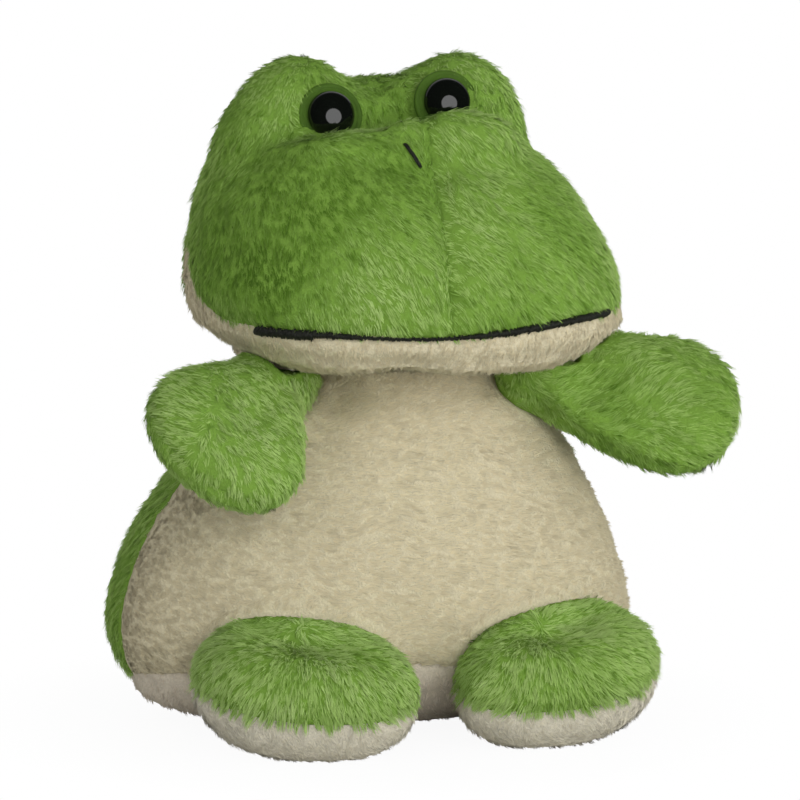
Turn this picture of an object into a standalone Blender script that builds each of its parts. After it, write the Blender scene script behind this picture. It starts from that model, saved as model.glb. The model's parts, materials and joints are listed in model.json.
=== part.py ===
"""Seated bean-bag frog soft toy.

Plush panels sewn over stuffed cores, a pellet pouch in the seat, moulded safety eyes with
their locking washers, and stitched mouth, nostrils, neck and back.

Metres, +Z up. The toy faces -Y and sits on Z = 0; its own right side is at -X.
"""
from dataclasses import dataclass
from math import cos, pi, radians, sin, sqrt

import bmesh
import bpy
import numpy as np
from mathutils import Matrix, Vector
from mathutils.bvhtree import BVHTree

# Cloth and clearances
SKIN = 0.0025
SEAM_GAP = 0.0003
FLOOR_PRESS = 0.0005
OVERRUN = 0.400
MERGE_DISTANCE = 0.00005
WELD_DISTANCE = 0.0006

# Torso
TORSO_HALF_WIDTH = 0.0570
TORSO_FRONT = 0.0410
TORSO_BACK = 0.0395
TORSO_HEIGHT = 0.0790
SEAT_SEAM_HEIGHT = 0.0100
SEAT_SEAM_RISE_SHARE = 0.17
SIDE_SEAM_FORWARD = 0.0050
TORSO_FULLNESS = 2.25
# Height, width, front and back of each station, and how much of the neck's lean it takes
TORSO_STATION_SHARES = (
    (0.000, 0.600, 0.400, 0.600, 0.00),
    (0.050, 0.830, 0.620, 0.830, 0.00),
    (0.135, 0.955, 0.840, 0.950, 0.00),
    (0.245, 1.000, 0.965, 1.000, 0.00),
    (0.440, 0.960, 0.985, 0.945, 0.04),
    (0.610, 0.855, 0.880, 0.840, 0.18),
    (0.760, 0.715, 0.750, 0.720, 0.45),
    (0.845, 0.600, 0.650, 0.640, 0.72),
)
# Polar angles of the neck ball's own stations, each a share of a half turn
BALL_STATION_SHARES = (0.350, 0.290, 0.230, 0.170, 0.110, 0.050)

# Neck ball, the rounded top of the torso that the head is sewn over
NECK_LEAN = 0.0065
NECK_BALL = 0.0270
NECK_PIVOT_DEPTH = 0.0190
NECK_PIVOT_HEIGHT = TORSO_HEIGHT - NECK_PIVOT_DEPTH
NECK_THREAD = 0.0005
NECK_GAP = 0.0005

# Head
HEAD_HALF_WIDTH = 0.0475
HEAD_FRONT = 0.0485
HEAD_BACK = 0.0310
NECK_OVERLAP = 0.0020
JAW_HEIGHT = 0.0113
FACE_HEIGHT = 0.0412
HEAD_BASE = TORSO_HEIGHT - NECK_OVERLAP
MOUTH_HEIGHT = HEAD_BASE + JAW_HEIGHT
HEAD_TOP = MOUTH_HEIGHT + FACE_HEIGHT
HEAD_FULLNESS = 2.30
HEAD_LEAN = -0.0052
JAW_LIFT = 0.0035
# Width, front, back, lean and side lift of the jaw's stations, each level a share of the way to the mouth
JAW_STATION_SHARES = (
    (0.00, 0.440, 0.500, 0.660, 0.00, 0.0),
    (0.12, 0.690, 0.800, 0.790, 0.00, 0.6),
    (0.45, 0.900, 0.940, 0.900, 0.00, 1.0),
    (1.00, 0.980, 1.000, 0.965, 0.00, 0.0),
)
# The same for the snout and crown, each level a share of the way from the mouth to the top
CROWN_STATION_SHARES = (
    (0.20, 1.000, 0.980, 1.000, 0.06, 0.0),
    (0.45, 0.945, 0.900, 1.000, 0.30, 0.0),
    (0.68, 0.850, 0.770, 0.940, 0.65, 0.0),
    (0.84, 0.725, 0.625, 0.830, 0.88, 0.0),
    (0.94, 0.570, 0.520, 0.660, 1.00, 0.0),
    (0.99, 0.360, 0.320, 0.420, 1.00, 0.0),
)
CHEEK_CORNER_FORWARD = 0.0230
CHEEK_RISE = 0.0310
CROWN_SEAM_BACK = 0.0060

# Eye bumps
BUMP_SPACING = 0.0342
BUMP_FORWARD = 0.0020
BUMP_SINK = 0.0065
BUMP_HEIGHT = HEAD_TOP - BUMP_SINK
BUMP_HALF_WIDTH = 0.0166
BUMP_HALF_DEPTH = 0.0140
BUMP_HALF_HEIGHT = 0.0208
CROWN_TIP = 0.0011
CROWN_BACK = 0.0040
CROWN_HALF_HEIGHT = 0.0135

# Eyes
EYE_SPREAD_SHARE = 0.737
EYE_RISE_SHARE = 0.433
EYE_TILT = radians(16)
EYE_SINK = 0.0014
IRIS_RADIUS = 0.0069
IRIS_THICKNESS = 0.0013
IRIS_BEVEL = 0.0005
PUPIL_RADIUS = 0.0050
PUPIL_DOME = 0.0031
PUPIL_RIM = 0.0004
SHANK_RADIUS = 0.0021
SHANK_LENGTH = 0.0095
SHANK_RIBS = 2
SHANK_RIB = 0.0003
WASHER_RADIUS = 0.0062
WASHER_THICKNESS = 0.0011
WASHER_DEPTH = 0.0036
WASHER_DISH = 0.0005
RUNNING_CLEARANCE = 0.0003

# Stitches
MOUTH_STITCH_HEIGHT = 0.0017
MOUTH_STITCH_THICKNESS = 0.0010
MOUTH_CORNER = 0.0395
NOSTRIL_LENGTH = 0.0058
NOSTRIL_RADIUS = 0.0005
NOSTRIL_SPACING = 0.0080
NOSTRIL_RISE = 0.0001
NOSTRIL_HEIGHT = BUMP_HEIGHT + NOSTRIL_RISE
NOSTRIL_SLANT = radians(30)
CLOSING_START = 0.0300
CLOSING_LENGTH = 0.0300
CLOSING_STITCHES = 9
CLOSING_STITCH_LENGTH = 0.0032
CLOSING_STITCH_RADIUS = 0.0004
CLOSING_GAP = 0.0004

# Arms
ARM_LENGTH = 0.0430
ARM_HALF_WIDTH = 0.0172
ARM_HALF_THICKNESS = 0.0098
ARM_ROOT = 0.0075
SHOULDER_DROP = 0.0100
SHOULDER_HEIGHT = TORSO_HEIGHT - SHOULDER_DROP
SHOULDER_FORWARD_SHARE = 0.35
CHIN_GAP = 0.0015
# Distance from the shoulder, width and thickness of each station beyond the round root
ARM_STATION_SHARES = (
    (0.16, 0.56, 0.82),
    (0.32, 0.77, 0.92),
    (0.48, 0.94, 1.00),
    (0.64, 1.00, 0.98),
    (0.78, 0.92, 0.88),
    (0.89, 0.73, 0.70),
    (0.97, 0.41, 0.40),
)

# Feet
RIGHT_FOOT_OUT = 0.0235
RIGHT_FOOT_FORWARD = 0.0415
LEFT_FOOT_OUT = 0.0310
LEFT_FOOT_FORWARD = 0.0390
FOOT_HALF_LENGTH = 0.0240
FOOT_HALF_DEPTH = 0.0165
FOOT_HALF_HEIGHT = 0.0135
FOOT_SPLAY = radians(20)
FOOT_SLOPE = radians(16)
FOOT_ROLL = radians(7)
FOOT_EGG_SHARE = 0.12
FOOT_PUFF = 0.62
FOOT_HINGE_HEIGHT = 0.0290
FOOT_HINGE_FORWARD = 0.0360

# Pellet pouch
POUCH_HALF_WIDTH = 0.0380
POUCH_HALF_DEPTH = 0.0250
POUCH_HALF_HEIGHT = 0.0110
POUCH_HEIGHT = 0.0125
POUCH_CLOTH = 0.0008

# Numbers of sides and rows
BIG_SIDES = 24
LIMB_SIDES = 16
EYE_SIDES = 16
ROOT_ROWS = 3
PAD_ROWS = 8
BALL_ROWS = 12
BUMP_ROWS = 8
THREAD_SIDES = 6
DOME_ROWS = 4
STITCH_SIDES = 8
SHARP_ANGLE = radians(40)
SOFTEN_STEPS = 2
SOFTEN_SHARE = 0.4

# The pieces that ride on the neck joint, by how their names start
HEAD_PIECES = ("chin", "head", "face", "left_eye", "right_eye", "mouth", "nostril", "neck")

FRONT = Vector((0, -1, 0))
UP = Vector((0, 0, 1))
RIGHT = Vector((1, 0, 0))


@dataclass(frozen=True)
class Finish:
    """Colour, roughness and metallic value of one material."""
    name: str
    colour: tuple
    roughness: float
    metallic: float = 0.0


GREEN_PLUSH = Finish("green_plush", (0.157, 0.298, 0.050), 0.92)
CREAM_PLUSH = Finish("cream_plush", (0.590, 0.520, 0.345), 0.92)
SEAT_PLUSH = Finish("seat_plush", (0.430, 0.380, 0.300), 0.92)
FIBRE_FILL = Finish("fibre_fill", (0.820, 0.820, 0.800), 0.95)
POUCH_CLOTH_FINISH = Finish("pouch_cloth", (0.780, 0.770, 0.730), 0.85)
PELLETS = Finish("pellets", (0.700, 0.700, 0.690), 0.45)
GREEN_PLASTIC = Finish("green_plastic", (0.060, 0.140, 0.020), 0.45)
BLACK_PLASTIC = Finish("black_plastic", (0.006, 0.007, 0.006), 0.08)
WASHER_PLASTIC = Finish("washer_plastic", (0.720, 0.720, 0.700), 0.40)
BLACK_THREAD = Finish("black_thread", (0.012, 0.013, 0.010), 0.70)
GREEN_THREAD = Finish("green_thread", (0.110, 0.220, 0.040), 0.70)


@dataclass(frozen=True)
class Limb:
    """Where an arm lies: outward, facing and side (-1 is the toy's right)."""
    side: int
    outward: Vector
    facing: Vector


ARMS = {
    "right_arm": Limb(-1, Vector((-0.56, -0.76, -0.33)), Vector((0.25, -0.74, 0.62))),
    "left_arm": Limb(1, Vector((0.93, -0.25, -0.24)), Vector((0.05, -0.72, 0.69))),
}


@dataclass(frozen=True)
class Foot:
    """Where the middle of a foot lies, to its side and ahead of the toy's own middle."""
    side: int
    out: float
    forward: float

    def turn(self):
        """The foot's splay, the slope of its seam and the roll that lifts its outer end."""
        splay = Matrix.Rotation(self.side * FOOT_SPLAY, 4, "Z")
        roll = Matrix.Rotation(-self.side * FOOT_ROLL, 4, "Y")
        return splay @ roll @ Matrix.Rotation(FOOT_SLOPE, 4, "X")

    def hinge(self):
        """The middle of the seam that holds the foot to the belly."""
        return Vector((self.side * self.out, -FOOT_HINGE_FORWARD, FOOT_HINGE_HEIGHT))


FEET = {
    "right_foot": Foot(-1, RIGHT_FOOT_OUT, RIGHT_FOOT_FORWARD),
    "left_foot": Foot(1, LEFT_FOOT_OUT, LEFT_FOOT_FORWARD),
}


def clear_scene():
    """Remove every object and mesh that the scene starts with."""
    for thing in list(bpy.data.objects):
        bpy.data.objects.remove(thing, do_unlink=True)
    for mesh in list(bpy.data.meshes):
        bpy.data.meshes.remove(mesh)


def material(finish):
    """The Principled material of a finish, made once."""
    found = bpy.data.materials.get(finish.name)
    if found:
        return found
    made = bpy.data.materials.new(finish.name)
    made.use_nodes = True
    shader = made.node_tree.nodes["Principled BSDF"]
    shader.inputs["Base Color"].default_value = (*finish.colour, 1)
    shader.inputs["Roughness"].default_value = finish.roughness
    shader.inputs["Metallic"].default_value = finish.metallic
    made.diffuse_color = (*finish.colour, 1)
    return made


def mesh_from(name, points, faces):
    """A mesh with its faces turned outwards."""
    mesh = bpy.data.meshes.new(name)
    mesh.from_pydata([tuple(p) for p in points], [], faces)
    shape = bmesh.new()
    shape.from_mesh(mesh)
    bmesh.ops.remove_doubles(shape, verts=shape.verts, dist=MERGE_DISTANCE)
    bmesh.ops.recalc_face_normals(shape, faces=shape.faces)
    shape.to_mesh(mesh)
    shape.free()
    return mesh


def piece(name, mesh, finish=None):
    """An object in the scene that holds its own copy of a mesh."""
    made = bpy.data.objects.new(name, mesh.copy())
    made.data.name = name
    bpy.context.collection.objects.link(made)
    if finish:
        made.data.materials.clear()
        made.data.materials.append(material(finish))
    return made


def combine(target, tool, operation):
    """Apply one Boolean of a tool mesh to an object."""
    helper = piece("tool", tool)
    step = target.modifiers.new("step", "BOOLEAN")
    step.operation = operation
    step.solver = "EXACT"
    step.object = helper
    graph = bpy.context.evaluated_depsgraph_get()
    result = bpy.data.meshes.new_from_object(target.evaluated_get(graph))
    target.modifiers.clear()
    kept = [slot for slot in target.data.materials]
    target.data = result
    result.materials.clear()
    for slot in kept:
        result.materials.append(slot)
    bpy.data.objects.remove(helper, do_unlink=True)


def keep(target, *tools):
    """Keep what an object shares with every tool."""
    for tool in tools:
        combine(target, tool, "INTERSECT")


def cut(target, *tools):
    """Take every tool out of an object."""
    for tool in tools:
        combine(target, tool, "DIFFERENCE")


def united(name, first, *others):
    """One closed mesh from meshes that overlap."""
    work = piece(name, first)
    for other in others:
        combine(work, other, "UNION")
    mesh = work.data.copy()
    bpy.data.objects.remove(work, do_unlink=True)
    shape = bmesh.new()
    shape.from_mesh(mesh)
    bmesh.ops.triangulate(shape, faces=shape.faces)
    bmesh.ops.remove_doubles(shape, verts=shape.verts, dist=WELD_DISTANCE)
    bmesh.ops.dissolve_degenerate(shape, edges=shape.edges, dist=MERGE_DISTANCE)
    shape.to_mesh(mesh)
    shape.free()
    return mesh


def softened(mesh, height):
    """A mesh with the creases above a height rounded off."""
    shape = bmesh.new()
    shape.from_mesh(mesh)
    soft = [vertex for vertex in shape.verts if vertex.co.z > height]
    for _ in range(SOFTEN_STEPS):
        bmesh.ops.smooth_vert(shape, verts=soft, factor=SOFTEN_SHARE,
                              use_axis_x=True, use_axis_y=True, use_axis_z=True)
    shape.to_mesh(mesh)
    shape.free()
    return mesh


def grown(mesh, distance):
    """A copy of a mesh, moved outwards along its own normals."""
    made = mesh.copy()
    count = len(mesh.vertices)
    places = np.empty(count * 3)
    normals = np.empty(count * 3)
    mesh.vertices.foreach_get("co", places)
    mesh.vertex_normals.foreach_get("vector", normals)
    made.vertices.foreach_set("co", places + distance * normals)
    made.update()
    return made


def hollow(mesh, thickness):
    """A form as a skin: its outer face, and an inner face turned the other way."""
    inner = grown(mesh, -thickness)
    shape = bmesh.new()
    shape.from_mesh(inner)
    bmesh.ops.reverse_faces(shape, faces=shape.faces)
    shape.from_mesh(mesh)
    made = bpy.data.meshes.new("skin")
    shape.to_mesh(made)
    shape.free()
    return made


def transformed(mesh, matrix):
    """A copy of a mesh, moved by a matrix."""
    made = mesh.copy()
    made.transform(matrix)
    return made


def frame_matrix(origin, across, along, normal):
    """The matrix that puts local X, Y and Z on three directions at an origin."""
    turn = Matrix((across, along, normal)).transposed().to_4x4()
    return Matrix.Translation(origin) @ turn


def half_space(point, normal):
    """A large box whose one face lies on a plane and which fills the side that normal points to."""
    shape = bmesh.new()
    bmesh.ops.create_cube(shape, size=OVERRUN)
    turn = normal.to_track_quat("Z", "Y").to_matrix().to_4x4()
    shape.transform(Matrix.Translation(point + normal.normalized() * OVERRUN / 2) @ turn)
    made = bpy.data.meshes.new("half_space")
    shape.to_mesh(made)
    shape.free()
    return made


def halves(point, normal):
    """The two sides of a seam plane, half the seam gap away from it each."""
    unit = normal.normalized()
    step = unit * SEAM_GAP / 2
    return half_space(point + step, unit), half_space(point - step, -unit)


def ring(sides, fullness):
    """Unit superellipse in X and Y, one point per side, as two arrays."""
    angle = 2 * pi * np.arange(sides) / sides
    c, s = np.cos(angle), np.sin(angle)
    power = 2 / fullness
    return np.sign(c) * np.abs(c) ** power, np.sign(s) * np.abs(s) ** power


def skinned(name, rings, low, high):
    """Close a stack of rings with a point at each end."""
    rings = np.asarray(rings)
    levels, sides = rings.shape[:2]
    points = [*rings.reshape(-1, 3), low, high]
    faces = []
    for level in range(levels - 1):
        for k in range(sides):
            here, after = level * sides + k, level * sides + (k + 1) % sides
            faces.append((here, after, after + sides, here + sides))
    foot, head = levels * sides, levels * sides + 1
    for k in range(sides):
        after = (k + 1) % sides
        faces.append((after, k, foot))
        faces.append(((levels - 1) * sides + k, (levels - 1) * sides + after, head))
    return mesh_from(name, points, faces)


def ellipsoid(name, centre, radii, sides, rows):
    """A closed ellipsoid with its poles on Z."""
    polar = pi * np.arange(1, rows) / rows
    x, y = ring(sides, 2)
    wide, deep, tall = radii
    rings = [np.column_stack((x * sin(p) * wide, y * sin(p) * deep, np.full(sides, -cos(p) * tall)))
             for p in polar]
    low, high = Vector((0, 0, -tall)), Vector((0, 0, tall))
    return transformed(skinned(name, rings, low, high), Matrix.Translation(centre))


def turned(name, profile, sides=EYE_SIDES):
    """A closed solid turned about Z from (radius, height) points, whose ends lie on the axis or close."""
    x, y = ring(sides, 2)
    on_axis = profile[0][0] == 0
    body = profile[1:-1] if on_axis else profile
    rings = [np.column_stack((x * r, y * r, np.full(sides, h))) for r, h in body]
    if on_axis:
        return skinned(name, rings, Vector((0, 0, profile[0][1])), Vector((0, 0, profile[-1][1])))
    points = np.vstack(rings)
    count = len(body)
    faces = []
    for level in range(count):
        for k in range(sides):
            here, after = level * sides + k, level * sides + (k + 1) % sides
            up = ((level + 1) % count - level) * sides
            faces.append((here, after, after + up, here + up))
    return mesh_from(name, points, faces)


def rod(name, length, radius, sides=STITCH_SIDES):
    """A short stitch along X with rounded ends."""
    half = length / 2
    profile = ((0, -half), (radius, -half + radius), (radius, half - radius), (0, half))
    return transformed(turned(name, profile, sides), Matrix.Rotation(pi / 2, 4, "Y"))


def torso_form():
    """The pear of the body, which runs into the neck ball at its top."""
    x, y = ring(BIG_SIDES, TORSO_FULLNESS)
    rings = []
    for height, width, front, back, lean in TORSO_STATION_SHARES:
        depth = np.where(y < 0, front * TORSO_FRONT, back * TORSO_BACK)
        rings.append(np.column_stack((
            x * width * TORSO_HALF_WIDTH + lean * NECK_LEAN,
            y * depth,
            np.full(BIG_SIDES, height * TORSO_HEIGHT))))
    x, y = ring(BIG_SIDES, 2)
    for share in BALL_STATION_SHARES:
        radius = NECK_BALL * sin(share * pi)
        height = NECK_PIVOT_HEIGHT + NECK_BALL * cos(share * pi)
        rings.append(np.column_stack((x * radius + NECK_LEAN, y * radius, np.full(BIG_SIDES, height))))
    low = Vector((0, 0, -FLOOR_PRESS))
    high = Vector((NECK_LEAN, 0, NECK_PIVOT_HEIGHT + NECK_BALL))
    return skinned("torso_form", rings, low, high)


def neck_ball(radius):
    """A ball about the point on which the head tips and turns."""
    return ellipsoid("neck_ball", neck_pivot(), (radius, radius, radius), BIG_SIDES, BALL_ROWS)


def neck_pivot():
    """The middle of the neck ball."""
    return Vector((NECK_LEAN, 0, NECK_PIVOT_HEIGHT))


def head_levels():
    """Rows of (height, half width, front, back, lean, side lift) from the neck opening to the crown."""
    jaw = [(HEAD_BASE + s * (MOUTH_HEIGHT - HEAD_BASE), *rest) for s, *rest in JAW_STATION_SHARES]
    crown = [(MOUTH_HEIGHT + s * (HEAD_TOP - MOUTH_HEIGHT), *rest) for s, *rest in CROWN_STATION_SHARES]
    return np.array(jaw + crown) * (1, HEAD_HALF_WIDTH, HEAD_FRONT, HEAD_BACK, HEAD_LEAN, JAW_LIFT)


def head_ring(level):
    """One outline of the head as points, higher at its sides by the lift of its level."""
    height, width, front, back, lean, lift = level
    x, y = ring(BIG_SIDES, HEAD_FULLNESS)
    depth = np.where(y < 0, front, back)
    return np.column_stack((x * width + NECK_LEAN + lean, y * depth, height + lift * x ** 2))


def head_form():
    """Snout, cheeks and crown, with an eye bump on each side, softened where they meet."""
    rings = [head_ring(level) for level in head_levels()]
    low = Vector((NECK_LEAN, 0, HEAD_BASE))
    high = Vector((NECK_LEAN + HEAD_LEAN, 0, HEAD_TOP))
    radii = (BUMP_HALF_WIDTH, BUMP_HALF_DEPTH, BUMP_HALF_HEIGHT)
    bumps = [ellipsoid("bump", bump_centre(side), radii, LIMB_SIDES, BUMP_ROWS) for side in (-1, 1)]
    radii = (BUMP_SPACING / 2, BUMP_HALF_DEPTH, CROWN_HALF_HEIGHT)
    middle = Vector((NECK_LEAN + HEAD_LEAN, CROWN_BACK, BUMP_HEIGHT))
    crown = ellipsoid("crown", middle, radii, LIMB_SIDES, BUMP_ROWS)
    form = united("head_form", skinned("head_form", rings, low, high), *bumps, crown)
    return softened(form, BUMP_HEIGHT - BUMP_HALF_HEIGHT / 2)


def bump_centre(side):
    """The middle of one eye bump."""
    across = NECK_LEAN + HEAD_LEAN + side * BUMP_SPACING / 2
    return Vector((across, -BUMP_FORWARD, BUMP_HEIGHT + side * CROWN_TIP))


def surface_hit(mesh, origin, direction):
    """The last point of a form on a ray that starts inside it, and the normal there."""
    shape = bmesh.new()
    shape.from_mesh(mesh)
    tree = BVHTree.FromBMesh(shape)
    shape.free()
    far = origin + direction.normalized() * OVERRUN
    place, normal, _, _ = tree.ray_cast(far, -direction)
    return place, normal


def prism(outline):
    """A closed prism across the whole head from (y, z) points."""
    count = len(outline)
    points = [(side * OVERRUN / 2, y, z) for side in (-1, 1) for y, z in outline]
    faces = [tuple(range(count)), tuple(range(2 * count - 1, count - 1, -1))]
    for k in range(count):
        after = (k + 1) % count
        faces.append((k, after, count + after, count + k))
    return mesh_from("prism", points, faces)


def cheek_curve(offset):
    """The (y, z) line of the mouth seam, level in front and rising behind the mouth's corner."""
    run = CHEEK_CORNER_FORWARD + CROWN_SEAM_BACK
    steps = np.linspace(0, 1, BUMP_ROWS)
    y = -CHEEK_CORNER_FORWARD + run * np.sin(steps * pi / 2)
    z = MOUTH_HEIGHT + CHEEK_RISE * (1 - np.cos(steps * pi / 2))
    tangent = np.column_stack((np.cos(steps * pi / 2) * run, np.sin(steps * pi / 2) * CHEEK_RISE))
    tangent /= np.linalg.norm(tangent, axis=1)[:, None]
    line = np.column_stack((y, z)) + offset * np.column_stack((-tangent[:, 1], tangent[:, 0]))
    return [(-OVERRUN / 2, MOUTH_HEIGHT + offset), *map(tuple, line)]


def head_regions():
    """The tools that part the head: jaw, face and back, half a seam gap from each seam."""
    half = SEAM_GAP / 2
    low, high = cheek_curve(-half), cheek_curve(half)
    ahead = [point for point in low if point[0] < CROWN_SEAM_BACK - half]
    ahead_high = [point for point in high if point[0] < CROWN_SEAM_BACK - half]
    seam = CROWN_SEAM_BACK - half
    jaw = prism([*ahead, (seam, ahead[-1][1]), (seam, 0), (-OVERRUN / 2, 0)])
    face = prism([*ahead_high, (seam, ahead_high[-1][1]), (seam, OVERRUN), (-OVERRUN / 2, OVERRUN)])
    back = half_space(Vector((0, CROWN_SEAM_BACK + half, 0)), -FRONT)
    return jaw, face, back


@dataclass
class EyeSeat:
    """Place and direction of one safety eye."""
    side: int
    matrix: Matrix


def eye_seat(form, side):
    """Find where an eye presses the plush flat on its bump."""
    across = NECK_LEAN + HEAD_LEAN + side * EYE_SPREAD_SHARE * BUMP_SPACING / 2
    height = BUMP_HEIGHT + EYE_RISE_SHARE * BUMP_HALF_HEIGHT + side * CROWN_TIP
    place, _ = surface_hit(form, Vector((across, 0, height)), FRONT)
    axis = (Matrix.Rotation(-EYE_TILT, 3, "X") @ FRONT).normalized()
    return EyeSeat(side, frame_matrix(place - axis * EYE_SINK, RIGHT, axis.cross(RIGHT), axis))


def shank_hole():
    """Radius of the holes that a shank passes through."""
    return SHANK_RADIUS + SHANK_RIB + RUNNING_CLEARANCE


def eye_stand():
    """How far an eye stands out of its seat, with a clearance."""
    return SEAM_GAP + IRIS_THICKNESS + SEAM_GAP + PUPIL_RIM + PUPIL_DOME + RUNNING_CLEARANCE


def disc_tool(seat, radius, low, high):
    """A cylinder on an eye's axis."""
    profile = ((0, low), (radius, low), (radius, high), (0, high))
    return transformed(turned("disc_tool", profile), seat.matrix)


def washer_tool(seat, high):
    """Room for a washer, open up to a height above the seat."""
    return disc_tool(seat, IRIS_RADIUS + SEAM_GAP, -WASHER_DEPTH - WASHER_THICKNESS - SEAM_GAP, high)


def iris_mesh():
    """Flat moulded disc with a rounded rim and a hole for the shank."""
    hole = shank_hole()
    outer = IRIS_RADIUS
    top = SEAM_GAP + IRIS_THICKNESS
    profile = (
        (hole, SEAM_GAP),
        (outer - IRIS_BEVEL, SEAM_GAP),
        (outer, SEAM_GAP + IRIS_BEVEL),
        (outer, top - IRIS_BEVEL),
        (outer - IRIS_BEVEL, top),
        (hole, top),
    )
    return turned("iris", profile)


def pupil_mesh():
    """Black dome with its ribbed shank in one moulding."""
    base = SEAM_GAP + IRIS_THICKNESS + SEAM_GAP
    steps = np.linspace(0, pi / 2, DOME_ROWS + 1)[:-1]
    dome = [(PUPIL_RADIUS * cos(a), base + PUPIL_RIM + PUPIL_DOME * sin(a)) for a in steps]
    pitch = SHANK_LENGTH / (2 * SHANK_RIBS + 2)
    shank = []
    for k in range(SHANK_RIBS):
        low = base - SHANK_LENGTH + (2 * k + 1) * pitch
        rib = (SHANK_RADIUS + SHANK_RIB, low + pitch / 2)
        shank += [(SHANK_RADIUS, low), rib, (SHANK_RADIUS, low + pitch)]
    profile = [(0, base - SHANK_LENGTH), (SHANK_RADIUS, base - SHANK_LENGTH), *shank,
               (SHANK_RADIUS, base), (PUPIL_RADIUS, base), *dome, (0, base + PUPIL_RIM + PUPIL_DOME)]
    return turned("pupil", profile)


def washer_mesh():
    """Dished locking washer, set behind the plush on the shank."""
    hole = shank_hole()
    low = -WASHER_DEPTH - WASHER_THICKNESS
    profile = (
        (hole, low + WASHER_DISH),
        (WASHER_RADIUS, low),
        (WASHER_RADIUS, -WASHER_DEPTH),
        (hole, -WASHER_DEPTH + WASHER_DISH),
    )
    return turned("washer", profile)


def make_eyes(seats):
    """Iris disc, pupil and washer of both eyes."""
    for seat in seats:
        label = "right" if seat.side < 0 else "left"
        piece(f"{label}_eye_iris", transformed(iris_mesh(), seat.matrix), GREEN_PLASTIC)
        piece(f"{label}_eye_pupil", transformed(pupil_mesh(), seat.matrix), BLACK_PLASTIC)
        piece(f"{label}_eye_washer", transformed(washer_mesh(), seat.matrix), WASHER_PLASTIC)


def make_torso(form):
    """Seat, belly and back panels over the stuffing, and the pouch inside."""
    skin = hollow(form, SKIN)
    floor = half_space(Vector((0, 0, 0)), UP)
    seam = Vector((0, SEAT_SEAM_RISE_SHARE, 1))
    above, below = halves(Vector((0, 0, SEAT_SEAM_HEIGHT)), seam)
    behind, ahead = halves(Vector((0, -SIDE_SEAM_FORWARD, 0)), -FRONT)
    left, right = halves(Vector((0, 0, 0)), RIGHT)
    keep(piece("seat_panel", skin, SEAT_PLUSH), below, floor)
    keep(piece("belly_panel", skin, CREAM_PLUSH), above, ahead)
    keep(piece("back_panel_left", skin, GREEN_PLUSH), above, behind, left)
    keep(piece("back_panel_right", skin, GREEN_PLUSH), above, behind, right)
    core = piece("body_stuffing", grown(form, -SKIN - SEAM_GAP), FIBRE_FILL)
    cut(core, pouch_form(SEAM_GAP))


def pouch_form(extra):
    """The flattened bag of pellets in the seat."""
    radii = [size + extra for size in (POUCH_HALF_WIDTH, POUCH_HALF_DEPTH, POUCH_HALF_HEIGHT)]
    return ellipsoid("pouch_form", Vector((0, 0, POUCH_HEIGHT)), radii, BIG_SIDES, PAD_ROWS)


def make_pouch():
    """Upper and lower cloth of the pellet pouch, and the pellets."""
    floor = half_space(Vector((0, 0, SKIN - FLOOR_PRESS + SEAM_GAP)), UP)
    above, below = halves(Vector((0, 0, POUCH_HEIGHT)), UP)
    cloth = hollow(pouch_form(0), POUCH_CLOTH)
    keep(piece("pouch_upper", cloth, POUCH_CLOTH_FINISH), above)
    keep(piece("pouch_lower", cloth, POUCH_CLOTH_FINISH), below, floor)
    inside = half_space(Vector((0, 0, SKIN - FLOOR_PRESS + 2 * SEAM_GAP + POUCH_CLOTH)), UP)
    keep(piece("pellet_fill", pouch_form(-POUCH_CLOTH - SEAM_GAP), PELLETS), inside)


def make_head(form, seats):
    """Face, chin and back panels over the stuffing, opened for the neck and the eyes."""
    skin = hollow(form, SKIN)
    socket = neck_ball(NECK_BALL + NECK_GAP)
    jaw, face, back = head_regions()
    left, right = halves(Vector((NECK_LEAN, 0, 0)), RIGHT)
    chin = piece("chin_panel", skin, CREAM_PLUSH)
    keep(chin, jaw)
    cut(chin, socket)
    rear = piece("head_back_panel", skin, GREEN_PLUSH)
    keep(rear, back)
    cut(rear, socket)
    for seat in seats:
        label = "right" if seat.side < 0 else "left"
        panel = piece(f"face_panel_{label}", skin, GREEN_PLUSH)
        keep(panel, face, right if seat.side < 0 else left)
        cut(panel,
            disc_tool(seat, IRIS_RADIUS + SEAM_GAP, 0, eye_stand()),
            washer_tool(seat, -WASHER_DEPTH + WASHER_DISH + SEAM_GAP),
            disc_tool(seat, shank_hole(), -SHANK_LENGTH, eye_stand()))
    core = piece("head_stuffing", grown(form, -SKIN - SEAM_GAP), FIBRE_FILL)
    cut(core, socket)
    for seat in seats:
        cut(core,
            washer_tool(seat, eye_stand()),
            disc_tool(seat, shank_hole(), -SHANK_LENGTH, eye_stand()))


def make_neck_thread():
    """The ring of thread that sews the head's opening to the neck ball."""
    reach = NECK_BALL + NECK_GAP + NECK_THREAD
    height = HEAD_BASE - SEAM_GAP - NECK_THREAD
    radius = sqrt(reach ** 2 - (height - NECK_PIVOT_HEIGHT) ** 2)
    steps = 2 * pi * np.arange(THREAD_SIDES) / THREAD_SIDES
    profile = [(radius + NECK_THREAD * cos(a), height + NECK_THREAD * sin(a)) for a in steps]
    thread = turned("neck_thread", profile, BIG_SIDES)
    piece("neck_thread", transformed(thread, Matrix.Translation((NECK_LEAN, 0, 0))), GREEN_THREAD)


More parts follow.
